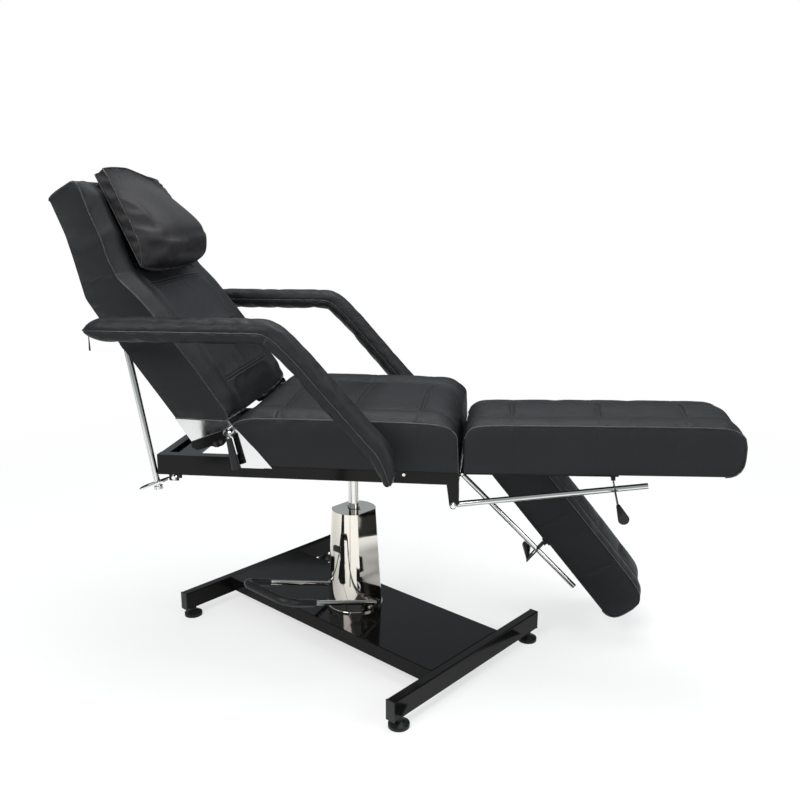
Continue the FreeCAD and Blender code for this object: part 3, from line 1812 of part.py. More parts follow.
def armrest_shapes():
    """The right armrest's tube with its foot plate, and its padded sleeve."""
    y = -(rail_outer + S.armrest_stand).value
    line = armrest_line()
    (x0, z0), (x1, z1), (x2, z2), (x3, z3) = line
    run = math.degrees(math.atan2(z1 - z2, x2 - x1))
    fall = math.degrees(math.atan2(z2 - z3, x3 - x2))
    thick = S.armrest_thickness.value
    wide = S.armrest_width.value
    tip_share = [(0.0, 0.22, 0.35), (0.06, 0.66, 0.78), (0.25, 0.92, 0.96), (0.9, 1.0, 1.0)]
    sections = []
    for share, depth, breadth in tip_share:
        drop = thick * 0.08 * (1.0 - depth)
        sections.append((x0 + wide * share * 1.4, z0 - drop, 0.0, depth, breadth))
    sections.append((x0 + (x1 - x0) * 0.55, z0, 0.0, 1.0, 1.0))
    sections.append((x1 - thick * 0.95, z1, 0.0, 1.0, 1.0))
    sections.append((x1 - thick * 0.1, z1 - thick * 0.12, run * HALF, 1.06, 1.0))
    bend_x, bend_z = x2 - x1, z2 - z1
    for share in (0.22, 0.6, 0.92):
        sections.append((x1 + bend_x * share, z1 + bend_z * share, run, 1.0, 1.0))
    end_share = [(0.34, 0.9, 0.96), (0.72, 0.7, 0.88), (0.95, 0.42, 0.6)]
    for share, depth, breadth in end_share:
        angle = run + (fall - run) * min(1.0, share * 1.4)
        x = x2 + (x3 - x2) * share - thick * 0.08 * share
        sections.append((x, z2 + (z3 - z2) * share, angle, depth, breadth))
    wires = [pad_section(x, y, z, angle, thick * a, wide * b) for x, z, angle, a, b in sections]
    pad = Part.makeLoft(wires, True, False)

    foot_x = x3 - thick * 0.1
    radius = S.armrest_tube_radius.value
    bend = S.armrest_tube_bend.value
    plate_y = rail_outer.value + S.armrest_plate_sheet.value
    corners = [
        Vector(x0 + S.armrest_tube_inset.value, y, z1),
        Vector(x1, y, z1),
        Vector(x2, y, z2),
        Vector(foot_x, y, z3),
        Vector(foot_x, -plate_y, z3),
    ]
    inward = Vector(0, 1, 0)
    overrun = S.cut_overrun.value
    length = S.armrest_plate_length.value
    height = S.armrest_plate_height.value
    sheet_ = S.armrest_plate_sheet.value
    middle = S.armrest_foot_x.value
    plate = Part.makeBox(length, sheet_, height, Vector(middle - length * HALF, -plate_y, z3 - height * HALF))
    hole_radius = S.small_bolt_radius.value + S.running_gap.value
    for offset in (-armrest_bolt_offset.value, armrest_bolt_offset.value):
        start = Vector(middle + offset, -plate_y - overrun, z3)
        plate = plate.cut(Part.makeCylinder(hole_radius, sheet_ + overrun * 2, start, inward))
    tube = pipe(corners, bend, radius).fuse(plate)
    return tube.removeSplitter(), pad.cut(pipe(corners, bend, radius + S.fit_gap.value))


right_tube, right_pad = armrest_shapes()
across = Vector(0, 1, 0)
node("armrest_tube_right", SEAT, feature(right_tube))
node("armrest_tube_left", SEAT, feature(right_tube.mirror(Vector(), across)))
node("armrest_pad_right", SEAT, feature(right_pad))
node("armrest_pad_left", SEAT, feature(right_pad.mirror(Vector(), across)))

# Bolts of the seat frame: back pivots, lock plate, rod brackets and armrest plates.
seat_bolts = []
for hand, side in SIDES.items():
    head = arm_y + S.layer_gap if side > 0 else hub_outer + S.layer_gap
    shank = head - rail_outer + S.nut_height
    x = -S.pivot_x
    bolt = dome_bolt(
        x,
        S.pivot_z,
        centre_y(side, head),
        side,
        shank,
        S.pivot_bolt_radius,
        S.pivot_head_radius,
        S.bolt_head_height,
    )
    nut_low = -rail_outer if side < 0 else rail_outer - S.nut_height
    nut = rod("y", x, nut_low, S.pivot_z, S.pivot_head_radius, S.nut_height)
    seat_bolts.append(fused(bolt, nut))
    rod_y = LEG_PROP_Y[hand]
    ear_out = S.ear_gap * HALF + S.ear_sheet
    head_side = -1
    seat_bolts.append(
        dome_bolt(
            S.prop_bracket_x,
            S.prop_bracket_z,
            rod_y - ear_out,
            head_side,
            ear_out * 2,
            S.bolt_radius,
            S.bolt_head_radius,
            S.bolt_head_height,
        )
    )
    for offset in (-armrest_bolt_offset, armrest_bolt_offset):
        seat_bolts.append(
            dome_bolt(
                S.armrest_foot_x + offset,
                S.armrest_foot_z,
                centre_y(side, rail_outer + S.armrest_plate_sheet),
                side,
                S.armrest_plate_sheet + S.tube_wall * 2,
                S.small_bolt_radius,
                S.small_head_radius,
                S.small_head_height,
            )
        )
lock_head_y = -prop_y - S.ear_gap * HALF - S.ear_sheet
seat_bolts.append(
    dome_bolt(
        -S.lock_bolt_x,
        lock_bolt_z,
        lock_head_y,
        -1,
        S.ear_gap + S.ear_sheet * 2,
        S.bolt_radius,
        S.bolt_head_radius,
        S.bolt_head_height,
    )
)
node("seat_bolts", SEAT, group(*seat_bolts))

# Bolts of the back rest: two through each black arm, and the one that carries the prop.
back_bolts = [
    dome_bolt(
        prop_x,
        prop_z,
        -prop_y + S.ear_gap * HALF + S.ear_sheet,
        1,
        S.ear_gap + S.ear_sheet * 2,
        S.bolt_radius,
        S.bolt_head_radius,
        S.small_head_height,
    )
]
for side in SIDES.values():
    for x, z in arm_bolts:
        back_bolts.append(
            dome_bolt(
                x,
                z,
                centre_y(side, arm_y + S.arm_sheet),
                side,
                S.arm_sheet,
                S.small_bolt_radius,
                S.arm_bolt_head_radius,
                S.small_head_height,
            )
        )
node("back_bolts", BACK, group(*back_bolts))

doc.recompute()

# Checks, then one file for each node.
faults = []
for thing in doc.Objects:
    if "Invalid" in thing.State or "Error" in thing.State:
        faults.append("%s (%s): %s" % (thing.Name, thing.Label, thing.State))
for thing in nodes:
    shape = thing.Shape
    if shape.isNull() or not shape.isValid() or not shape.Solids:
        faults.append("%s has no valid shape" % thing.Label)
if faults:
    raise RuntimeError("; ".join(faults))
os.makedirs("parts", exist_ok=True)
for thing in nodes:
    thing.Shape.exportStep("parts/%s.step" % thing.Label)
    print(thing.Label, len(thing.Shape.Solids), round(thing.Shape.Volume / 1000.0, 1))
print(len(nodes), "nodes")
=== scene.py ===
import math

import bpy
import numpy as np
from mathutils import Matrix, Vector


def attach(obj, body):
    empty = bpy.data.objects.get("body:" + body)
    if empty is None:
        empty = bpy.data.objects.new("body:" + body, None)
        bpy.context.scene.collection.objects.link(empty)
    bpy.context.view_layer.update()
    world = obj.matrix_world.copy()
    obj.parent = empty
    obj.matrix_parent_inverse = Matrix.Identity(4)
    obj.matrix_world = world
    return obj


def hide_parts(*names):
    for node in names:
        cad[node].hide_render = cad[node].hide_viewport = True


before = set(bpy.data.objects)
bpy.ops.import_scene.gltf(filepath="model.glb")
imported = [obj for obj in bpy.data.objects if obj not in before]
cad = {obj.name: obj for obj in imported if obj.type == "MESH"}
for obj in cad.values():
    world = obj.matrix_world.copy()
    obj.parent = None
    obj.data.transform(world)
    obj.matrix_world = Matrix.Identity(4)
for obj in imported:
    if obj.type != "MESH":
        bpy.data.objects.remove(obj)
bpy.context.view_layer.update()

scene = bpy.context.scene

# ---------------------------------------------------------------------------------------------
# Studio: a pale seamless floor, a white surround, three soft lamps and the photograph's camera.
# Dark cards stand out of the camera's sight, as in a product studio, so that bright metal and
# black covers have something dark to reflect.
# ---------------------------------------------------------------------------------------------
scene.view_settings.view_transform = "Standard"

camera_data = bpy.data.cameras.new("photo_camera")
camera = bpy.data.objects.new("photo_camera", camera_data)
scene.collection.objects.link(camera)
camera.location = (0.2345, -2.1073, 1.14)
camera.rotation_euler = (math.radians(77.21), 0.0, math.radians(6.716))
camera_data.lens = 37.26
camera_data.sensor_width = 36.0
camera_data.clip_start = 0.05
scene.camera = camera


def new_material(name):
    """An empty node material, its node tree and its output node."""
    material = bpy.data.materials.new(name)
    material.use_nodes = True
    tree = material.node_tree
    tree.nodes.clear()
    output = tree.nodes.new("ShaderNodeOutputMaterial")
    return material, tree, output


def set_inputs(node, **values):
    """Sets inputs of a node and returns it; an underscore in a key stands for a space."""
    for label, value in values.items():
        node.inputs[label.replace("_", " ")].default_value = value
    return node


def add_node(tree, kind, **values):
    """A new shader node with some of its inputs set."""
    return set_inputs(tree.nodes.new("ShaderNode" + kind), **values)


def wire(tree, *links):
    """Joins sockets; each link is an output and the input that it feeds."""
    for source, target in links:
        tree.links.new(source, target)


world = bpy.data.worlds.new("studio_surround")
scene.world = world
world.use_nodes = True
sky = world.node_tree
sky.nodes.clear()
sky_output = sky.nodes.new("ShaderNodeOutputWorld")
sky_seen = add_node(sky, "Background", Color=(1.0, 1.0, 1.0, 1.0), Strength=1.0)
sky_light = add_node(sky, "Background", Color=(0.86, 0.95, 1.0, 1.0), Strength=0.5)
sky_path = add_node(sky, "LightPath")
sky_mix = add_node(sky, "MixShader")
wire(
    sky,
    (sky_path.outputs["Is Camera Ray"], sky_mix.inputs["Fac"]),
    (sky_light.outputs[0], sky_mix.inputs[1]),
    (sky_seen.outputs[0], sky_mix.inputs[2]),
    (sky_mix.outputs[0], sky_output.inputs["Surface"]),
)

# The floor is painted, and to the camera it fades into the white surround with distance.
floor_material, floor_tree, floor_output = new_material("studio_floor")
floor_paint = add_node(floor_tree, "BsdfDiffuse", Color=(0.88, 0.875, 0.865, 1.0))
floor_white = add_node(floor_tree, "Emission", Color=(1.0, 1.0, 1.0, 1.0))
floor_path = add_node(floor_tree, "LightPath")
floor_place = add_node(floor_tree, "TexCoord")
floor_reach = add_node(floor_tree, "VectorMath")
floor_reach.operation = "LENGTH"
floor_fade = add_node(
    floor_tree, "MapRange", From_Min=0.7, From_Max=3.2, To_Min=0.62, To_Max=1.0
)
floor_fade.interpolation_type = "SMOOTHSTEP"
floor_share = add_node(floor_tree, "Math")
floor_share.operation = "MULTIPLY"
floor_mix = add_node(floor_tree, "MixShader")
wire(
    floor_tree,
    (floor_place.outputs["Object"], floor_reach.inputs[0]),
    (floor_reach.outputs["Value"], floor_fade.inputs["Value"]),
    (floor_path.outputs["Is Camera Ray"], floor_share.inputs[0]),
    (floor_fade.outputs["Result"], floor_share.inputs[1]),
    (floor_share.outputs[0], floor_mix.inputs["Fac"]),
    (floor_paint.outputs[0], floor_mix.inputs[1]),
    (floor_white.outputs[0], floor_mix.inputs[2]),
    (floor_mix.outputs[0], floor_output.inputs["Surface"]),
)

bpy.ops.mesh.primitive_plane_add(size=60.0, location=(0.0, 0.0, 0.0))
floor = bpy.context.active_object
floor.name = "studio_floor"
floor.data.materials.append(floor_material)


def add_lamp(name, place, aim, width, height, power, colour):
    """A rectangular soft lamp at place, turned to aim."""
    data = bpy.data.lights.new(name, "AREA")
    data.shape = "RECTANGLE"
    data.size = width
    data.size_y = height
    data.energy = power
    data.color = colour
    lamp = bpy.data.objects.new(name, data)
    scene.collection.objects.link(lamp)
    lamp.location = place
    lamp.rotation_euler = (Vector(aim) - Vector(place)).to_track_quat("-Z", "Y").to_euler()


add_lamp("key_softbox", (-1.5, -2.9, 2.7), (0.0, 0.0, 0.6), 2.0, 1.6, 95.0, (1.0, 0.985, 0.96))
add_lamp("side_softbox", (2.9, -1.5, 1.9), (0.2, 0.0, 0.6), 1.5, 1.7, 48.0, (0.93, 0.97, 1.0))
add_lamp("top_softbox", (0.1, 0.3, 3.3), (0.0, 0.0, 0.6), 2.4, 2.0, 80.0, (1.0, 1.0, 1.0))

card_material, card_tree, card_output = new_material("studio_card")
card_cloth = add_node(card_tree, "BsdfDiffuse", Color=(0.012, 0.012, 0.013, 1.0))
wire(card_tree, (card_cloth.outputs[0], card_output.inputs["Surface"]))


def add_card(name, place, aim, width, height):
    """A black card that only reflections see."""
    bpy.ops.mesh.primitive_plane_add(size=1.0, location=place)
    card = bpy.context.active_object
    card.name = name
    card.scale = (width, height, 1.0)
    card.rotation_euler = (Vector(aim) - Vector(place)).to_track_quat("-Z", "Y").to_euler()
    card.data.materials.append(card_material)
    card.visible_camera = False
    card.visible_shadow = False
    card.visible_diffuse = False
    return card


add_card("card_behind", (0.0, 3.4, 0.75), (0.0, 0.0, 0.6), 7.0, 1.5)
add_card("card_left", (-3.6, 0.9, 0.75), (0.0, 0.0, 0.6), 3.0, 1.5)
# Slim cards on the floor, spread like spokes from the pump, draw upright streaks on bright metal.
pump_x, spoke_reach, spoke_length = -0.14, 1.45, 1.9
spokes = ((66.0, 0.36), (30.0, 0.05), (-9.0, 0.035), (-46.0, 0.32))  # heading in degrees, width
for number, (heading, width) in enumerate(spokes):
    bearing = math.radians(heading)
    place = Vector(
        (pump_x + spoke_reach * math.sin(bearing), -spoke_reach * math.cos(bearing), 0.002)
    )
    above = place + Vector((0.0, 0.0, 1.0))
    spoke = add_card("card_spoke_%d" % number, place, above, width, spoke_length)
    spoke.rotation_euler = (0.0, 0.0, bearing)
add_card("card_plate", (-1.04, -2.0, 0.6), (-0.4, -0.26, 0.6), 0.14, 1.2)

# ---------------------------------------------------------------------------------------------
# Base: two box-tube bars across the ends of a folded sheet-steel deck, all powder coated in
# gloss black. The coat is thick enough to level, with a faint orange-peel skin on the steel.
# ---------------------------------------------------------------------------------------------
def new_group(name, inputs, outputs):
    """A shader node group with float inputs (name, value) and outputs (name, kind)."""
    group = bpy.data.node_groups.new(name, "ShaderNodeTree")
    for label, value in inputs:
        socket = group.interface.new_socket(name=label, in_out="INPUT", socket_type="NodeSocketFloat")
        socket.default_value = value
    for label, kind in outputs:
        group.interface.new_socket(name=label, in_out="OUTPUT", socket_type="NodeSocket" + kind)
    return group, group.nodes.new("NodeGroupInput"), group.nodes.new("NodeGroupOutput")


def use_group(tree, group, **values):
    """A group node with some of its inputs set."""
    node = tree.nodes.new("ShaderNodeGroup")
    node.node_tree = group
    return set_inputs(node, **values)


# Surface film: soft patches of dust and handling, and fine specks, as a mask from 0 to 1.
film_group, film_in, film_out = new_group(
    "surface_film",
    [("Patch scale", 6.0), ("Speck scale", 420.0)],
    [("Patches", "Float"), ("Specks", "Float")],
)
film_place = add_node(film_group, "TexCoord")
film_patch = add_node(film_group, "TexNoise", Detail=5.0, Roughness=0.62)
film_speck = add_node(film_group, "TexNoise", Detail=2.0)
for noise, scale, mask in (
    (film_patch, "Patch scale", "Patches"),
    (film_speck, "Speck scale", "Specks"),
):
    wire(
        film_group,
        (film_place.outputs["Object"], noise.inputs["Vector"]),
        (film_in.outputs[scale], noise.inputs["Scale"]),
        (noise.outputs["Fac"], film_out.inputs[mask]),
    )


def remap(tree, source, low, high, from_low=0.0, from_high=1.0):
    """A Map Range node fed by source; returns its result socket."""
    node = add_node(
        tree, "MapRange", From_Min=from_low, From_Max=from_high, To_Min=low, To_Max=high
    )
    tree.links.new(source, node.inputs["Value"])
    return node.outputs["Result"]


def mix_colours(tree, mask, first, second):
    """A colour that goes from first to second with a mask socket."""
    node = tree.nodes.new("ShaderNodeMix")
    node.data_type = "RGBA"
    node.inputs["A"].default_value = (*first, 1.0)
    node.inputs["B"].default_value = (*second, 1.0)
    tree.links.new(mask, node.inputs["Factor"])
    return node.outputs["Result"]


def add_bump(tree, height, shader, distance, strength):
    """Bumps the shader's normal with a height socket; distance is in metres."""
    bump = add_node(tree, "Bump", Distance=distance, Strength=strength)
    wire(
        tree,
        (height, bump.inputs["Height"]),
        (bump.outputs["Normal"], shader.inputs["Normal"]),
    )


def metal_or_coat(
    name, dark, light, rough_low, rough_high, metallic, peel, patch=6.0, speck=420.0, specular=0.5
):
    """A hard finish: tone and roughness wander with the film, and peel is its skin's height."""
    material, tree, output = new_material(name)
    shader = add_node(tree, "BsdfPrincipled", Metallic=metallic, Specular_IOR_Level=specular)
    film = use_group(tree, film_group, Patch_scale=patch, Speck_scale=speck)
    mask = film.outputs["Patches"]
    wire(
        tree,
        (mix_colours(tree, mask, dark, light), shader.inputs["Base Color"]),
        (remap(tree, mask, rough_low, rough_high, 0.35, 0.7), shader.inputs["Roughness"]),
        (shader.outputs[0], output.inputs["Surface"]),
    )
    if peel:
        add_bump(tree, film.outputs["Specks"], shader, peel, 0.5)
    return material


def finish_nodes(material, *names):
    """Gives CAD nodes their finish."""
    for name in names:
        materials = cad[name].data.materials
        if len(materials):
            for i in range(len(materials)):
                materials[i] = material
        else:
            materials.append(material)


gloss_black = metal_or_coat(
    "gloss_black_coat",
    (0.0036, 0.0032, 0.0030),
    (0.0062, 0.0056, 0.0053),
    0.07, 0.14, 0.0, 0.00003,
    specular=0.14,
)
finish_nodes(gloss_black, "front_bar", "rear_bar", "deck")
moulded_black = metal_or_coat(
    "moulded_black_plastic",
    (0.007, 0.007, 0.008),
    (0.013, 0.013, 0.014),
    0.3, 0.42, 0.0, 0.0001, 14.0, 900.0, 0.3,
)
finish_nodes(moulded_black, "bar_plugs", "panel_latch", "release_lever", "leg_knob_right", "leg_knob_left")
foot_rubber = metal_or_coat(
    "black_rubber", (0.006, 0.006, 0.006), (0.013, 0.013, 0.013), 0.34, 0.5, 0.0, 0.0001, 20.0, 700.0, 0.25
)
finish_nodes(
    foot_rubber, "foot_front_right", "foot_front_left", "foot_rear_right", "foot_rear_left",
    "pedal_sleeve",
)

# ---------------------------------------------------------------------------------------------
# Pump and lift: a chrome-plated sheet shroud with a sprung service panel round the cylinder, a
# ground and plated ram, and a bent foot bar of plated rod.
# ---------------------------------------------------------------------------------------------
chrome = metal_or_coat(
    "chrome_plate", (0.60, 0.59, 0.57), (0.70, 0.69, 0.67), 0.02, 0.07, 1.0, 0.0, 9.0
)
finish_nodes(
    chrome, "pedal_shaft", "pedal_bar", "lift_ram", "back_rod", "leg_rod_right", "leg_rod_left",
    "seat_bolts",
)
warm_chrome = metal_or_coat(
    "nickel_chrome", (0.62, 0.585, 0.53), (0.71, 0.67, 0.61), 0.02, 0.06, 1.0, 0.0, 9.0
)
finish_nodes(warm_chrome, "pump_shroud", "service_panel", "pump_flange")
casting = metal_or_coat(
    "pump_casting", (0.05, 0.05, 0.055), (0.09, 0.09, 0.095), 0.5, 0.65, 0.6, 0.0003, 12.0, 260.0
)
finish_nodes(casting, "pump_cylinder")

# ---------------------------------------------------------------------------------------------
# Seat frame: welded box tube in the same gloss black, with polished side plates at the back
# hinge, black straps, bright bolts, and plywood boards stained black under each cushion.
# ---------------------------------------------------------------------------------------------
finish_nodes(
    gloss_black, "rail_right", "rail_left", "front_cross_tube", "leg_hinge_base",
    "head_cross_tube", "mid_cross_tubes", "head_cross_plate", "swivel_hub", "hinge_arms",
    "prop_bracket", "rod_bracket_right", "rod_bracket_left", "leg_hinge_leaf_right",
    "leg_hinge_leaf_left", "armrest_tube_right", "armrest_tube_left",
)
polished_steel = metal_or_coat(
    "polished_steel", (0.54, 0.54, 0.54), (0.66, 0.66, 0.66), 0.03, 0.09, 1.0, 0.00001, 18.0, 500.0
)
finish_nodes(
    polished_steel, "seat_hinge_plates", "back_hinge_plates", "back_lock_plate", "leg_hinge_pin",
    "pump_plunger", "lever_hub",
)
dark_steel = metal_or_coat(
    "blackened_steel",
    (0.010, 0.010, 0.011),
    (0.02, 0.02, 0.021),
    0.16, 0.28, 0.3, 0.00004, 20.0, 600.0,
)
finish_nodes(dark_steel, "leg_catch_right", "leg_catch_left", "back_bolts")

board_material, board_tree, board_output = new_material("stained_plywood")
board_shader = add_node(board_tree, "BsdfPrincipled")
board_place = add_node(board_tree, "TexCoord")
board_stretch = add_node(board_tree, "Mapping", Scale=(4.0, 60.0, 60.0))
board_grain = add_node(board_tree, "TexNoise", Scale=3.0, Detail=6.0)
board_mask = board_grain.outputs["Fac"]
board_colour = mix_colours(board_tree, board_mask, (0.012, 0.011, 0.010), (0.035, 0.031, 0.027))
wire(
    board_tree,
    (board_place.outputs["Object"], board_stretch.inputs["Vector"]),
    (board_stretch.outputs[0], board_grain.inputs["Vector"]),
    (board_colour, board_shader.inputs["Base Color"]),
    (remap(board_tree, board_mask, 0.5, 0.75), board_shader.inputs["Roughness"]),
    (board_shader.outputs[0], board_output.inputs["Surface"]),
)
add_bump(board_tree, board_mask, board_shader, 0.0004, 0.6)
finish_nodes(board_material, "seat_board", "back_board", "leg_board_right", "leg_board_left")

# ---------------------------------------------------------------------------------------------
# Seat cushion: foam on a board under black leatherette, sewn in panels between double-stitched
# channels. A thin welt runs along the upper edge of each side and down its front corner, and the
# skirts hang outside the rails.
# ---------------------------------------------------------------------------------------------
MM = 0.001

grain_group, grain_in, grain_out = new_group(
    "leather_grain",
    [("Cell scale", 780.0), ("Crease scale", 34.0), ("Crease share", 0.35)],
    [("Height", "Float"), ("Wear", "Float"), ("Pores", "Float")],
)
grain_place = add_node(grain_group, "TexCoord")
grain_warp = add_node(grain_group, "TexNoise", Scale=260.0, Detail=1.0)
grain_push = add_node(grain_group, "VectorMath")
grain_push.operation = "MULTIPLY_ADD"
grain_push.inputs[1].default_value = (0.0012, 0.0012, 0.0012)
grain_cells = add_node(grain_group, "TexVoronoi")
grain_cells.feature = "DISTANCE_TO_EDGE"
grain_dome = add_node(grain_group, "MapRange", From_Max=0.32)
grain_dome.interpolation_type = "SMOOTHSTEP"
grain_crease = add_node(grain_group, "TexNoise", Detail=7.0, Roughness=0.6)
grain_wear = add_node(grain_group, "TexNoise", Scale=5.0, Detail=4.0)
grain_sum = add_node(grain_group, "Math")
grain_sum.operation = "MULTIPLY_ADD"
wire(
    grain_group,
    (grain_place.outputs["Object"], grain_warp.inputs["Vector"]),
    (grain_warp.outputs["Color"], grain_push.inputs[0]),
    (grain_place.outputs["Object"], grain_push.inputs[2]),
    (grain_push.outputs[0], grain_cells.inputs["Vector"]),
    (grain_in.outputs["Cell scale"], grain_cells.inputs["Scale"]),
    (grain_cells.outputs["Distance"], grain_dome.inputs["Value"]),
    (grain_place.outputs["Object"], grain_crease.inputs["Vector"]),
    (grain_in.outputs["Crease scale"], grain_crease.inputs["Scale"]),
    (grain_place.outputs["Object"], grain_wear.inputs["Vector"]),
    (grain_crease.outputs["Fac"], grain_sum.inputs[0]),
    (grain_in.outputs["Crease share"], grain_sum.inputs[1]),
    (grain_dome.outputs["Result"], grain_sum.inputs[2]),
    (grain_sum.outputs[0], grain_out.inputs["Height"]),
    (grain_wear.outputs["Fac"], grain_out.inputs["Wear"]),
    (grain_dome.outputs["Result"], grain_out.inputs["Pores"]),
)


def leatherette(name, dark, light, rough_low, rough_high, specular):
    """Coated cloth with an embossed grain, a little paler where it is rubbed."""
    material, tree, output = new_material(name)
    shader = add_node(tree, "BsdfPrincipled", Specular_IOR_Level=specular)
    grain = use_group(tree, grain_group)
    mask = grain.outputs["Wear"]
    wire(
        tree,
        (mix_colours(tree, mask, dark, light), shader.inputs["Base Color"]),
        (remap(tree, mask, rough_low, rough_high, 0.3, 0.7), shader.inputs["Roughness"]),
        (shader.outputs[0], output.inputs["Surface"]),
    )
    add_bump(tree, grain.outputs["Height"], shader, 0.00022, 0.55)
    return material


cover_leather = leatherette(
    "black_leatherette", (0.0075, 0.0078, 0.0085), (0.012, 0.0125, 0.0135), 0.36, 0.48, 0.2
)
welt_leather = leatherette(
    "welt_leatherette", (0.008, 0.008, 0.009), (0.014, 0.014, 0.015), 0.17, 0.25, 0.6
)
thread_material, thread_tree, thread_output = new_material("black_thread")
thread_shader = add_node(thread_tree, "BsdfPrincipled")
thread_place = add_node(thread_tree, "TexCoord")
thread_twist = add_node(thread_tree, "TexWave", Scale=900.0, Distortion=1.5)
thread_mask = thread_twist.outputs["Fac"]
thread_colour = mix_colours(thread_tree, thread_mask, (0.012, 0.012, 0.013), (0.045, 0.045, 0.05))
wire(
    thread_tree,
    (thread_place.outputs["Object"], thread_twist.inputs["Vector"]),
    (thread_colour, thread_shader.inputs["Base Color"]),
    (remap(thread_tree, thread_mask, 0.4, 0.6), thread_shader.inputs["Roughness"]),
    (thread_shader.outputs[0], thread_output.inputs["Surface"]),
)

# Across a double seam, in millimetres: grid lines, the two needle furrows and their depths, the
# rows of stitches beside them, and the band that the foam doesn't swell.
SEAM_OFFSETS = (-15.0, -9.5, -6.6, -5.2, -4.2, -3.2, 0.0, 3.2, 4.2, 5.2, 6.6, 9.5, 15.0)
SEAM_DIP = {-5.2: 1.0, -4.2: 2.4, -3.2: 1.0, 3.2: 1.0, 4.2: 2.4, 5.2: 1.0}
STITCH_OFFSET = 6.6
BAND_HALF = 6.7
PANEL_PITCH = 12.0


def grid_lines(low, high, step, seams, edge):
    """Grid lines in millimetres: an even pitch, with close lines at each seam and at both ends."""
    close = [low, low + edge, low + edge * 2.6, high - edge * 2.6, high - edge, high]
    for seam in seams:
        close += [seam + offset for offset in SEAM_OFFSETS]
    lines = sorted(close)
    full = [lines[0]]
    for line in lines[1:]:
        gap = line - full[-1]
        parts = max(1, int(round(gap / step)))
        full += [full[-1] + gap * (n + 1) / parts for n in range(parts)] if parts > 1 else [line]
    return np.array(full)


def mesh_piece(name, points, faces):
    """A new mesh object of the given points and faces."""
    mesh = bpy.data.meshes.new(name)
    mesh.from_pydata([tuple(point) for point in points], [], faces)
    mesh.update()
    piece = bpy.data.objects.new(name, mesh)
    scene.collection.objects.link(piece)
    return piece


def box_mesh(name, counts, place):
    """A closed box of grid faces; place(i, j, k) gives each surface point, in metres."""
    numbers = {}
    points = []

    def number(i, j, k):
        key = (i, j, k)
        if key not in numbers:
            numbers[key] = len(points)
            points.append(place(i, j, k))
        return numbers[key]

    faces = []
    # the two grid axes a face runs along, the axis it faces, and whether its first side is turned
    for first, second, facing, turned in ((0, 1, 2, True), (0, 2, 1, False), (1, 2, 0, True)):
        for a in range(counts[first] - 1):
            for b in range(counts[second] - 1):
                for end, flip in ((0, turned), (counts[facing] - 1, not turned)):
                    face = []
                    for step_a, step_b in ((0, 0), (1, 0), (1, 1), (0, 1)):
                        key = [0, 0, 0]
                        key[first], key[second], key[facing] = a + step_a, b + step_b, end
                        face.append(number(*key))
                    faces.append(face[::-1] if flip else face)
    return mesh_piece(name, points, faces), numbers


def read_points(mesh):
    """The mesh's points as rows of x, y and z."""
    flat = np.empty(len(mesh.vertices) * 3)
    mesh.vertices.foreach_get("co", flat)
    return flat.reshape(-1, 3)


def swell(piece, held, pressure, cap, shrink=-0.012):
    """Air pressure swells the free cloth between the held points, by no more than cap metres.

    A negative shrink gives the cloth a little more length than the form, for wrinkles.
    """
    pins = piece.vertex_groups.new(name="held")
    pins.add(held, 1.0, "REPLACE")
    cloth = piece.modifiers.new("cover", "CLOTH")
    cloth.settings.quality = 4
    cloth.settings.mass = 0.25
    cloth.settings.tension_stiffness = 18.0
    cloth.settings.compression_stiffness = 18.0
    cloth.settings.shear_stiffness = 6.0
    cloth.settings.bending_stiffness = 0.35
    cloth.settings.shrink_min = shrink
    cloth.settings.use_pressure = True
    cloth.settings.uniform_pressure_force = pressure
    cloth.settings.vertex_group_mass = "held"
    cloth.settings.effector_weights.gravity = 0.0
    cloth.collision_settings.use_collision = False
    last_frame = 20
    cloth.point_cache.frame_start = 1
    cloth.point_cache.frame_end = last_frame
    before = read_points(piece.data)
    for frame_number in range(1, last_frame + 1):
        scene.frame_set(frame_number)
    worked = piece.evaluated_get(bpy.context.evaluated_depsgraph_get())
    after = read_points(worked.data)
    piece.modifiers.remove(cloth)
    scene.frame_set(1)
    move = after - before
    length = np.maximum(np.linalg.norm(move, axis=1, keepdims=True), 1e-9)
    move *= cap * np.tanh(length / cap) / length
    piece.data.vertices.foreach_set("co", (before + move).ravel())
    piece.data.update()
    piece.vertex_groups.remove(pins)


def finish_mesh(piece, levels, material, angle=60.0):
    """Smooths a piece by subdivision and by angle, and gives it its one material."""
    bpy.ops.object.select_all(action="DESELECT")
    bpy.context.view_layer.objects.active = piece
    piece.select_set(True)
    if levels:
        smooth = piece.modifiers.new("smooth", "SUBSURF")
        smooth.levels = levels
        smooth.render_levels = levels
        bpy.ops.object.modifier_apply(modifier="smooth")
    bpy.ops.object.shade_smooth_by_angle(angle=math.radians(angle))
    piece.data.materials.clear()
    piece.data.materials.append(material)


def tube_along(name, runs, radius, material):
    """Round cords along closed or open runs of points, as one mesh."""
    curve = bpy.data.curves.new(name, "CURVE")
    curve.dimensions = "3D"
    curve.bevel_depth = radius
    curve.bevel_resolution = 2
    curve.use_fill_caps = True
    for points, closed in runs:
        spline = curve.splines.new("POLY")
        spline.points.add(len(points) - 1)
        for point, co in zip(spline.points, points):
            point.co = (*co, 1.0)
        spline.use_cyclic_u = closed
    piece = bpy.data.objects.new(name, curve)
    scene.collection.objects.link(piece)
    bpy.ops.object.select_all(action="DESELECT")
    bpy.context.view_layer.objects.active = piece
    piece.select_set(True)
    bpy.ops.object.convert(target="MESH")
    piece = bpy.context.active_object
    finish_mesh(piece, 0, material)
    return piece


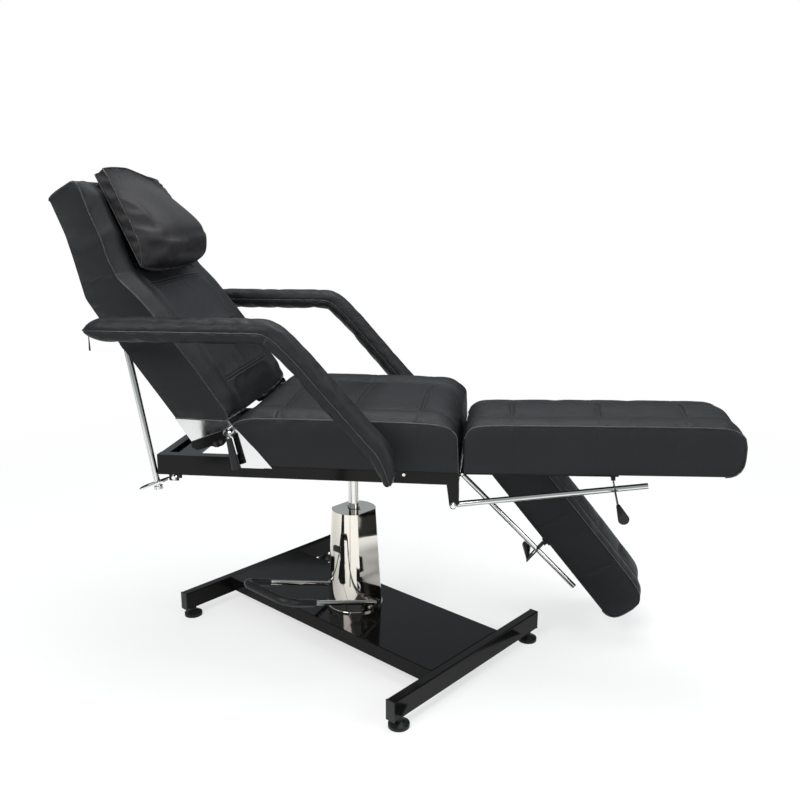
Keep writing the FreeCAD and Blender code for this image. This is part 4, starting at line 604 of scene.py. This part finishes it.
def resample(points, pitch):
    """The points of a polyline at an even pitch."""
    points = np.asarray(points)
    steps = np.linalg.norm(np.diff(points, axis=0), axis=1)
    along = np.concatenate([[0.0], np.cumsum(steps)])
    count = max(2, int(along[-1] / pitch) + 1)
    wanted = np.linspace(0.0, along[-1], count)
    return np.stack([np.interp(wanted, along, points[:, n]) for n in range(3)], axis=1)


def stitches(name, rows, lift, pitch=0.0052, length=0.0036, thick=0.00042):
    """Sewn stitches: short six-sided threads along each row, lifted off the surface."""
    points, faces = [], []
    for row, normals in rows:
        row = np.asarray(row)
        normals = np.asarray(normals)
        steps = np.linalg.norm(np.diff(row, axis=0), axis=1)
        along = np.concatenate([[0.0], np.cumsum(steps)])
        for start in np.arange(pitch * 0.5, along[-1] - length, pitch):
            ends = []
            for place in (start, start + length * 0.5, start + length):
                point = np.array([np.interp(place, along, row[:, n]) for n in range(3)])
                normal = np.array([np.interp(place, along, normals[:, n]) for n in range(3)])
                normal /= max(np.linalg.norm(normal), 1e-9)
                ends.append((point, normal))
            axis = ends[2][0] - ends[0][0]
            axis /= max(np.linalg.norm(axis), 1e-9)
            first = len(points)
            for n, (point, normal) in enumerate(ends):
                side = np.cross(axis, normal)
                # the thread is full and high in its middle, thin and low where it dives in
                width = thick if n == 1 else thick * 0.45
                rise = lift if n == 1 else lift * 0.2
                for turn in range(6):
                    a = math.pi * turn / 3.0
                    up, out = rise + math.sin(a) * width, math.cos(a) * width
                    points.append(point + normal * up + side * out)
            for n in range(2):
                for turn in range(6):
                    a, b = first + n * 6 + turn, first + n * 6 + (turn + 1) % 6
                    faces.append([a, a + 6, b + 6, b])
            faces.append([first + turn for turn in range(6)])
            faces.append([first + 12 + turn for turn in range(5, -1, -1)])
    piece = mesh_piece(name, points, faces)
    piece.data.materials.append(thread_material)
    return piece


def smooth_between(value, xs, ys):
    """Eased steps between the heights ys at xs."""
    value = min(max(value, xs[0]), xs[-1])
    for x0, x1, y0, y1 in zip(xs, xs[1:], ys, ys[1:]):
        if value <= x1:
            share = (value - x0) / (x1 - x0)
            share = share * share * (3.0 - 2.0 * share)
            return y0 + (y1 - y0) * share
    return ys[-1]


def sewn_cushion(name, spec, body, slot_node, turn, origin):
    """A boxed cushion with sewn channels; spec holds its lines and heights in millimetres.

    The grid runs u along the top line, v across it, and t from the underside to the top.
    """
    top = np.array(spec["top"], float)
    lengths = np.concatenate([[0.0], np.cumsum(np.linalg.norm(np.diff(top, axis=0), axis=1))])
    order = np.argsort(top[:, 0])
    seams_u = [float(np.interp(x, top[order, 0], lengths[order])) for x in spec["seams_x"]]
    u_lines = grid_lines(0.0, lengths[-1], PANEL_PITCH, seams_u, 3.0)
    low, high = spec["width"]
    v_lines = grid_lines(low, high, PANEL_PITCH, spec["seams_y"], 2.6)
    v_lines = np.array(sorted(set(np.round(np.concatenate([v_lines, spec["under_y"]]), 3))))
    t_lines = np.array([0.0, 0.03, 0.09, 0.2, 0.32, 0.44, 0.56, 0.68, 0.8, 0.91, 0.97, 1.0])
    counts = (len(u_lines), len(v_lines), len(t_lines))
    middle = (low + high) * 0.5
    half = (high - low) * 0.5
    seams_y = np.array(spec["seams_y"])

    def seam_dip(u, v):
        """The furrows' depth; the cross seams stop at the outer furrows of the long ones."""
        dip, near, reach = 0.0, 0.3, 4.3
        on_u = min((abs(u - seam), u - seam) for seam in seams_u)[1]
        on_v = min((abs(v - seam), v - seam) for seam in seams_y)[1]
        inside = seams_y.min() - reach <= v <= seams_y.max() + reach
        for offset, depth in SEAM_DIP.items():
            if abs(on_v - offset) < near or (inside and abs(on_u - offset) < near):
                dip = max(dip, depth)
        return dip

    matrix = Matrix.Translation(origin) @ Matrix.Rotation(turn, 4, "Y")
    end_run, foot_run, corner_pull = 70.0, 45.0, 1.4
    shoulder_drop, shoulder_run = 2.0, 3.5

    def place(i, j, k):
        u, v, t = u_lines[i], v_lines[j], t_lines[k]
        tx = np.interp(u, lengths, top[:, 0])
        tz = np.interp(u, lengths, top[:, 1])
        offset = abs(v - middle)
        crown = smooth_between(half - offset, spec["crown_at"], spec["crown"])
        ends = min(1.0, min(u, lengths[-1] - u) / spec["crown_run"])
        ends = math.sin(ends * math.pi * 0.5)
        shoulder = shoulder_drop * math.exp(-min(v - low, high - v) / shoulder_run)
        bx, bz = spec["under"](u / lengths[-1], v)
        tz += crown * ends * (0.25 + 0.75 * ends) - shoulder - seam_dip(u, v)
        x = bx + (tx - bx) * t
        z = bz + (tz - bz) * t
        # both end faces puff out between their seams, and the foot's upper edge rolls forward
        reach = max(0.0, 1.0 - (lengths[-1] - u) / end_run)
        x += spec["end_puff"] * math.sin(math.pi * math.sqrt(t)) * reach * reach
        roll = max(0.0, 1.0 - u / foot_run) ** 2 * (1.0 - (offset / half) ** 4)
        x += (spec["foot_puff"] * math.sin(math.pi * t**2) + spec["foot_lip"] * 0.6 * t) * roll
        z += spec["foot_lip"] * 0.8 * t * roll
        # the seams draw the corners of each side in
        y = v
        if j in (0, counts[1] - 1) and t in (0.0, 1.0):
            y += corner_pull if j == 0 else -corner_pull
        return tuple(matrix @ Vector((x * MM, y * MM, z * MM)))

    piece, numbers = box_mesh(name, counts, place)
    held = []
    top_k = len(t_lines) - 1
    for (i, j, k), index in numbers.items():
        u, v = u_lines[i], v_lines[j]
        on_top = k == top_k
        at_border = i in (0, counts[0] - 1) or j in (0, counts[1] - 1)
        if k == 0:
            held.append(index)
        elif on_top:
            near_u = min(abs(u - seam) for seam in seams_u) < BAND_HALF
            near_v = min(abs(v - seam) for seam in seams_y) < BAND_HALF
            inside = seams_y.min() - BAND_HALF <= v <= seams_y.max() + BAND_HALF
            if at_border or near_v or (near_u and inside):
                held.append(index)
        elif i in (0, counts[0] - 1) and j in (0, counts[1] - 1):
            held.append(index)
    swell(piece, held, spec["pressure"], spec["cap"] * MM)
    points = read_points(piece.data)
    piece.data.calc_loop_triangles()
    normals = np.array([vertex.normal[:] for vertex in piece.data.vertices])

    def row(keys):
        return [points[numbers[key]] for key in keys], [normals[numbers[key]] for key in keys]

    sewn = []
    inner = [j for j, v in enumerate(v_lines) if seams_y.min() + 6.0 < v < seams_y.max() - 6.0]
    for seam in seams_u:
        for offset in (-STITCH_OFFSET, STITCH_OFFSET):
            i = int(np.argmin(np.abs(u_lines - seam - offset)))
            sewn.append(row([(i, j, top_k) for j in inner]))
    for seam in seams_y:
        for offset in (-STITCH_OFFSET, STITCH_OFFSET):
            j = int(np.argmin(np.abs(v_lines - seam - offset)))
            sewn.append(row([(i, j, top_k) for i in range(1, counts[0] - 1)]))
    welts = []
    for j in (0, counts[1] - 1):
        keys = [(0, j, k) for k in range(top_k)] if spec["foot_puff"] else []
        keys += [(i, j, top_k) for i in range(counts[0])]
        keys += [(counts[0] - 1, j, k) for k in range(top_k - 1, -1, -1)]
        line, outward = row(keys)
        line = np.array(line) + np.array(outward) * 0.0004
        welts.append((resample(line, 0.006), False))
    finish_mesh(piece, 1, cover_leather, 75.0)
    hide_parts(slot_node)
    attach(piece, body)
    welt = tube_along(name + "_welt", welts, 0.0021, welt_leather)
    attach(welt, body)
    thread = stitches(name + "_stitching", sewn, 0.0006)
    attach(thread, body)


COLUMN = -0.1407  # the ram's axis in the frame, in metres; the millimetre lines start from it
SKIRT_INNER = 252.6


def seat_under(share, v):
    """The underside: a skirt outside each rail, a flat over the rails, and a slanted rear face."""
    skirt, flat = 546.4, 564.6
    z = skirt if abs(v) > SKIRT_INNER else flat
    rear = -151.0 - (z - 546.0) * 0.868
    front = 294.0
    return rear + (front - rear) * share, z


seat_spec = {
    "top": [
        (-243, 646), (-238, 654), (-221, 660), (-200, 664), (-115, 666), (20, 666), (158, 665),
        (226, 663), (252, 660), (270, 655), (283, 646), (290, 634),
    ],
    "seams_x": (-137.0, 34.6, 199.5),
    "seams_y": (-169.0, 169.0),
    "under_y": (-252.75, -252.4, 252.4, 252.75),
    "width": (-260.6, 260.6),
    "crown_at": (0.0, 41.0, 91.6, 261.0),
    "crown": (0.0, 17.0, 4.5, 12.0),
    "crown_run": 60.0,
    "under": seat_under,
    "end_puff": 0.0,
    "foot_puff": 0.0,
    "foot_lip": 0.0,
    "pressure": 5.0,
    "cap": 6.0,
}
sewn_cushion("seat_pad", seat_spec, "seat", "seat_cushion", 0.0, Vector((COLUMN, 0.0, 0.0)))

# ---------------------------------------------------------------------------------------------
# Back rest cushion: the same sewn cover over foam that is bent forward under the head. A double
# seam crosses it at the bend, and a recess behind takes the rails when the back lies flat.
# ---------------------------------------------------------------------------------------------
BACK_TURN = math.radians(53.0)
BACK_PIVOT = Vector((COLUMN - 0.250, 0.0, 0.632))
back_rear_line = np.array(
    [
        (-102, -90.5), (-158, -89), (-256, -87), (-322, -85), (-393, -86), (-450, -82),
        (-484, -67), (-537, -44), (-589, -23), (-665, -2),
    ],
    float,
)


def back_under(share, v):
    """The rear side, with a recess between its side strips as far up as the rails reach."""
    foot, head = -102.0, -668.0
    recess_foot, recess_head, recess_floor = -82.0, -444.0, -63.6
    x = foot + (head - foot) * share
    z = float(np.interp(-x, -back_rear_line[:, 0], back_rear_line[:, 1]))
    if abs(v) < SKIRT_INNER and x > recess_head:
        z = recess_floor
        x = recess_foot + (x - foot) * (recess_head - recess_foot) / (recess_head - foot)
    return x, z


back_spec = {
    "top": [
        (-24, 8), (-27, 18), (-36, 22), (-55, 24), (-89, 25), (-150, 28), (-235, 28), (-317, 28),
        (-371, 26), (-408, 20), (-432, 15), (-442, 16), (-485, 25), (-533, 44), (-595, 60), (-640, 76),
        (-659, 81), (-668, 74),
    ],
    "seams_x": (-106.0, -240.0, -395.0, -452.0),
    "seams_y": (-169.0, 169.0),
    "under_y": (-252.75, -252.4, 252.4, 252.75),
    "width": (-260.6, 260.6),
    "crown_at": (0.0, 41.0, 91.6, 261.0),
    "crown": (0.0, 24.0, 13.0, 19.0),
    "crown_run": 60.0,
    "under": back_under,
    "end_puff": -6.0,
    "foot_puff": 12.0,
    "foot_lip": 8.0,
    "pressure": 5.0,
    "cap": 6.0,
}
sewn_cushion("back_pad", back_spec, "back", "back_cushion", BACK_TURN, BACK_PIVOT)

# ---------------------------------------------------------------------------------------------
# Leg cushions: one long pad each, leatherette over foam on a board, sewn in panels by three double
# seams across and one along each side. The foot end is wrapped round without a welt over it.
# ---------------------------------------------------------------------------------------------
LEG_HINGE = Vector((COLUMN + 0.303, 0.0, 0.541))


def leg_under(share, v):
    """A flat underside on the board, a little shorter than the top."""
    start, end, board_top = 4.0, 590.0, 5.4
    return start + (end - start) * share, board_top


def leg_spec(side):
    """The lines of one leg cushion; side is -1 on the sitter's right."""
    return {
        "top": [
            (6.5, 90), (14, 108), (26, 117), (45, 120), (85, 122), (230, 122), (400, 121.5),
            (540, 121), (590, 119), (615, 112), (628, 98), (632, 78),
        ],
        "seams_x": (116.0, 317.0, 510.0),
        "seams_y": tuple(sorted((side * 57.0, side * 208.6))),
        "under_y": (),
        "width": tuple(sorted((side * 5.4, side * 260.6))),
        "crown_at": (0.0, 26.0, 52.0, 130.0),
        "crown": (0.0, 10.0, 9.0, 19.0),
        "crown_run": 55.0,
        "under": leg_under,
        "end_puff": 24.0,
        "foot_puff": 0.0,
        "foot_lip": 0.0,
        "pressure": 5.0,
        "cap": 6.0,
    }


for side, name, angle in ((-1.0, "right", -1.2), (1.0, "left", 51.0)):
    sewn_cushion(
        "leg_pad_" + name,
        leg_spec(side),
        "leg_" + name,
        "leg_cushion_" + name,
        math.radians(angle),
        LEG_HINGE,
    )

# ---------------------------------------------------------------------------------------------
# Head pillow: a soft wedge of foam in leatherette, laid on the upper part of the back rest. Its
# front panel is gathered into the piped seam at the foot, and a gusset widens towards the head.
# ---------------------------------------------------------------------------------------------
PILLOW_HALF = 184.5


def spline(points, pitch):
    """Points about pitch apart on a smooth curve through the given ones, of any number of axes."""
    points = np.asarray(points, float)
    ends = np.vstack([points[0] * 2 - points[1], points, points[-1] * 2 - points[-2]])
    out = []
    for a, b, c, d in zip(ends, ends[1:], ends[2:], ends[3:]):
        steps = max(2, int(round(np.linalg.norm((c - b)[:2]) / pitch)))
        slope, bend, twist = c - a, 2 * a - 5 * b + 4 * c - d, 3 * b - a - 3 * c + d
        for n in range(steps):
            t = n / steps
            out.append(0.5 * (2 * b + slope * t + bend * t * t + twist * t**3))
    out.append(points[-1])
    return np.array(out)


def pillow_lines(v):
    """The pillow's upper line and the two ends of its rest at v, in the back's millimetres.

    It is full at the foot, thin at the head, and slumps towards its far head corner.
    """
    swollen = 1.0 - abs(v / PILLOW_HALF) ** 3.6
    slump = max(0.0, v / PILLOW_HALF + 0.25) / 1.25
    foot_x, length, rest_z, rest_slope, thickness = -424.0, 272.0, 43.2, 0.2217, 91.0

    def at(x_share, z_share):
        x = foot_x - length * x_share
        return x, rest_z + (foot_x - x) * rest_slope + thickness * z_share

    top = [
        at(0.06 - 0.07 * swollen, 0.03 + 0.07 * swollen),
        at(0.08 - 0.14 * swollen, 0.07 + 0.43 * swollen),
        at(0.135 - 0.155 * swollen, 0.16 + 0.76 * swollen),
        at(0.26 - 0.06 * swollen, 0.28 + 0.88 * swollen),
        at(0.55, 0.29 + 0.5 * swollen - 0.12 * slump),
        at(0.8 - 0.02 * slump, 0.29 + 0.13 * swollen - 0.22 * slump),
        at(0.9 + 0.03 * swollen - 0.06 * slump, 0.26 - 0.2 * slump),
    ]
    under = (at(0.06 - 0.06 * swollen, 0.0), at(0.905 + 0.035 * swollen, 0.0))
    return np.array(top), np.array(under)


pillow_u = np.linspace(0.0, 1.0, 34)
pillow_u = 0.5 - 0.5 * np.cos(pillow_u * math.pi) * (0.8 + 0.2 * np.cos(pillow_u * math.pi) ** 2)
pillow_v = np.linspace(-1.0, 1.0, 45)
pillow_v = np.sign(pillow_v) * (1.0 - (1.0 - np.abs(pillow_v)) ** 1.25) * PILLOW_HALF
pillow_t = np.linspace(0.0, 1.0, 7)
pillow_matrix = Matrix.Translation(BACK_PIVOT) @ Matrix.Rotation(BACK_TURN, 4, "Y")
pillow_columns = []
for v in pillow_v:
    top, under = pillow_lines(v)
    curve = spline(top, 3.0)
    along = np.concatenate([[0.0], np.cumsum(np.linalg.norm(np.diff(curve, axis=0), axis=1))])
    wanted = pillow_u * along[-1]
    ridge = np.stack([np.interp(wanted, along, curve[:, n]) for n in range(2)], axis=1)
    base = under[0] + (under[1] - under[0]) * pillow_u[:, None]
    pillow_columns.append((ridge, base))


def pillow_place(i, j, k):
    """A point of the pillow: its top has a slanted crease, pleats at the foot, crimps at the head."""
    ridge, base = pillow_columns[j]
    v = pillow_v[j]
    point = base[i] + (ridge[i] - base[i]) * pillow_t[k]
    if k == len(pillow_t) - 1:
        near_foot = pillow_u[i] * 330.0
        crease_at, crease_slant, crease_width, crease_depth = 118.0, 0.06, 9.0, 3.0
        past = (near_foot - crease_at - crease_slant * v) / crease_width
        crease = crease_depth * math.exp(-(past**2))
        pleat = math.sin(v * 0.31 + 1.3 * math.sin(v * 0.11)) * math.exp(-near_foot / 30.0)
        pleat *= min(1.0, near_foot / 6.0)
        near_head = (1.0 - pillow_u[i]) * 250.0
        crimp = math.sin(v * 0.23 + 0.9 * math.sin(v * 0.07)) * math.exp(-near_head / 18.0)
        crimp *= min(1.0, near_head / 6.0)
        point = point + np.array([0.0, pleat * 2.0 + crimp * 0.9 - crease])
    return tuple(pillow_matrix @ Vector((point[0] * MM, v * MM, point[1] * MM)))


pillow_counts = (len(pillow_u), len(pillow_v), len(pillow_t))
pillow, pillow_numbers = box_mesh("pillow_pad", pillow_counts, pillow_place)
pillow_held = []
for (i, j, k), index in pillow_numbers.items():
    rim = i in (0, pillow_counts[0] - 1) or j in (0, pillow_counts[1] - 1)
    if k == 0 or (rim and k == pillow_counts[2] - 1):
        pillow_held.append(index)
swell(pillow, pillow_held, 5.0, 6.5 * MM, -0.045)
pillow_points = read_points(pillow.data)
pillow_runs = []
for k in (0, pillow_counts[2] - 1):
    last_i, last_j = pillow_counts[0] - 1, pillow_counts[1] - 1
    keys = [(i, 0, k) for i in range(last_i + 1)] + [(last_i, j, k) for j in range(1, last_j + 1)]
    keys += [(i, last_j, k) for i in range(last_i - 1, -1, -1)]
    keys += [(0, j, k) for j in range(last_j - 1, 0, -1)]
    pillow_runs.append((resample([pillow_points[pillow_numbers[key]] for key in keys], 0.005), True))
pillow_leather = leatherette(
    "pillow_leatherette", (0.0095, 0.0085, 0.0095), (0.016, 0.0145, 0.016), 0.42, 0.54, 0.25
)
finish_mesh(pillow, 1, pillow_leather, 80.0)
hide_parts("head_pillow")
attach(pillow, "pillow")
pillow_welt = tube_along("pillow_pad_welt", pillow_runs, 0.0018, welt_leather)
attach(pillow_welt, "pillow")

# ---------------------------------------------------------------------------------------------
# Armrest pads: long sleeves of leatherette over foam on a bent tube. A cover and a lower panel
# meet in piped seams at mid height, with a mitre and small gathers at the elbow. The zip of each
# sleeve ends under the rear tip, where its pull hangs.
# ---------------------------------------------------------------------------------------------
ARM_WIDE = 64.0
ARM_DEEP = 55.0
ELBOW = (-112.6, 883.5)


def arm_rings():
    """Rings along the sleeve: centre x and z, turn in degrees, depth and breadth shares."""
    rear, elbow, knee = (-551.0, 883.5), ELBOW, (130.0, 607.0)
    run = math.degrees(math.atan2(elbow[1] - knee[1], knee[0] - elbow[0]))
    nose = []
    for reach in (0.2, 2.0, 5.0, 10.0, 18.0, 30.0, 46.0, 64.0):
        breadth = min(1.0, (1.0 - (1.0 - min(1.0, reach / 60.0)) ** 2.2) ** 0.66)
        depth = min(1.0, (1.0 - (1.0 - min(1.0, reach / 64.0)) ** 2.2) ** 0.82)
        nose.append((rear[0] + reach, rear[1] - 2.5 * (1.0 - depth), 0.0, depth, breadth))
    path = nose + [(-440.0, rear[1], 0.0, 1.0, 1.0), (-310.0, rear[1], 0.0, 0.985, 1.0)]
    path += [(-205.0, rear[1], 0.0, 1.0, 1.0), (elbow[0] - 52.0, elbow[1], 2.0, 1.0, 1.0)]
    path += [(elbow[0] - 6.0, elbow[1] - 6.5, run * 0.5, 1.04, 1.0)]
    for share in (0.2, 0.42, 0.64, 0.82, 0.95):
        x, z = elbow[0] + (knee[0] - elbow[0]) * share, elbow[1] + (knee[1] - elbow[1]) * share
        path.append((x, z, run, 1.0, 1.0))
    path += [(134.5, 590.0, 52.0, 0.93, 0.98), (140.5, 573.0, 56.0, 0.76, 0.93)]
    path += [(144.5, 558.0, 60.0, 0.53, 0.82), (147.0, 547.0, 64.0, 0.27, 0.56)]
    path += [(147.6, 543.0, 66.0, 0.08, 0.2)]
    return spline(path, 6.5)


arm_stations = arm_rings()
arm_steps = np.linalg.norm(np.diff(arm_stations[:, :2], axis=0), axis=1)
arm_along = np.concatenate([[0.0], np.cumsum(arm_steps)])
elbow_along = float(np.interp(ELBOW[0] - 6.0, arm_stations[:, 0], arm_along))


def arm_turns():
    """Angles round the sleeve: close together at the piped seam on each side."""
    sides = 44
    offsets = [-0.13, -0.065, 0.0, 0.065, 0.13]
    side = (sides - 2 * len(offsets)) // 2
    turns = []
    for start in (0.0, math.pi):
        turns += [start + offset for offset in offsets]
        low, high = start + offsets[-1], start + math.pi + offsets[0]
        turns += [low + (high - low) * (n + 1) / (side + 1) for n in range(side)]
    return turns


arm_angles = arm_turns()


def arm_pad(name, side):
    """One sleeve: rings of points about its bent line; side is -1 on the sitter's right."""
    centre_y = side * 350.0
    power = 2.0 / 2.9  # between an ellipse and a rounded box
    points = []
    for s, (x, z, turn, depth, breadth) in zip(arm_along, arm_stations):
        a = math.radians(turn)
        near_elbow = math.exp(-(((s - elbow_along) / 42.0) ** 2))
        mitre = math.exp(-(((s - elbow_along) / 3.2) ** 2))
        for angle in arm_angles:
            c, d = math.cos(angle), math.sin(angle)
            out = math.copysign(abs(c) ** power, c)
            up = math.copysign(abs(d) ** power, d)
            seam = min(abs(math.remainder(angle, math.pi)), 0.5)
            dent = 1.4 * math.exp(-((seam / 0.07) ** 2))
            gather = 0.8 * math.sin(s * 0.62 + 2.0 * math.sin(s * 0.21))
            gather *= math.exp(-seam * 9.0) * near_elbow
            crease = mitre * (0.3 if up > 0 else 2.2)
            ripple = 0.35 * math.sin(s * 0.11 + 1.7 * math.sin(angle * 2.0))
            ripple *= 1.0 if up < 0 else 0.35
            shrink = (dent + crease - gather - ripple) * min(1.0, breadth * 1.2)
            wide = ARM_WIDE * 0.5 * breadth * out
            deep = ARM_DEEP * 0.5 * depth * up
            if up < 0:
                deep *= 0.94
            length = max(math.hypot(wide, deep), 1e-6)
            wide -= shrink * wide / length
            deep -= shrink * deep / length
            points.append(
                (
                    (x + deep * math.sin(a)) * MM + COLUMN,
                    (centre_y + wide) * MM,
                    (z + deep * math.cos(a)) * MM,
                )
            )
    rings = len(arm_stations)
    count = len(arm_angles)
    faces = []
    for r in range(rings - 1):
        for n in range(count):
            a, b = r * count + n, r * count + (n + 1) % count
            faces.append([a, b, b + count, a + count])
    for r, flip in ((0, True), (rings - 1, False)):
        middle = len(points)
        ring = range(r * count, r * count + count)
        points.append(tuple(np.mean([points[n] for n in ring], axis=0)))
        for n in range(count):
            a, b = r * count + n, r * count + (n + 1) % count
            faces.append([middle, b, a] if flip else [middle, a, b])
    piece = mesh_piece(name, points, faces)
    right_seam, left_seam = arm_angles.index(math.pi), arm_angles.index(0.0)
    held = []
    for r in range(rings):
        for n in range(count):
            near_seam = min(abs(n - right_seam), abs(n - left_seam), count - abs(n - left_seam)) <= 1
            at_mitre = abs(arm_along[r] - elbow_along) < 5.0
            if near_seam or at_mitre or r < 2 or r > rings - 3:
                held.append(r * count + n)
    held += [rings * count, rings * count + 1]
    swell(piece, held, 3.0, 1.8 * MM, -0.012)
    points = read_points(piece.data)
    first = [points[r * count + left_seam] for r in range(rings - 1, -1, -1)]
    second = [points[r * count + right_seam] for r in range(rings)]
    bend = int(np.argmin(np.abs(arm_along - elbow_along)))
    under = [points[bend * count + n % count] for n in range(right_seam, count + left_seam + 1)]
    runs = [(resample(first + second, 0.004), False), (resample(under, 0.004), False)]
    welt = tube_along(name + "_welt", runs, 0.0019, welt_leather)
    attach(welt, "seat")
    finish_mesh(piece, 1, cover_leather, 80.0)
    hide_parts("armrest_pad_right" if side < 0 else "armrest_pad_left")
    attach(piece, "seat")


def zip_pull(name, side):
    """A flat steel tab, wider at its lower end, that hangs from the zip under the sleeve's tip."""
    middle, length = COLUMN - 0.5385, 0.034
    bpy.ops.object.select_all(action="DESELECT")
    bpy.ops.mesh.primitive_cube_add(size=1.0, location=(middle, side * 0.350, 0.851))
    tab = bpy.context.active_object
    tab.name = name
    tab.scale = (0.0035, 0.0012, length)
    bpy.ops.object.transform_apply(location=True, rotation=True, scale=True)
    bpy.ops.object.mode_set(mode="EDIT")
    bpy.ops.mesh.select_all(action="SELECT")
    bpy.ops.mesh.subdivide(number_cuts=3)
    bpy.ops.object.mode_set(mode="OBJECT")
    low = min(vertex.co.z for vertex in tab.data.vertices)
    for vertex in tab.data.vertices:
        share = (vertex.co.z - low) / length
        vertex.co.x = middle + (vertex.co.x - middle) * (1.25 - 0.75 * share)
    rounding = tab.modifiers.new("rounding", "BEVEL")
    rounding.width = 0.0004
    rounding.segments = 2
    bpy.ops.object.modifier_apply(modifier="rounding")
    tab.data.materials.append(dark_steel)
    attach(tab, "seat")


for side, hand in ((-1.0, "right"), (1.0, "left")):
    arm_pad("arm_pad_" + hand, side)
    zip_pull("zip_pull_" + hand, side)
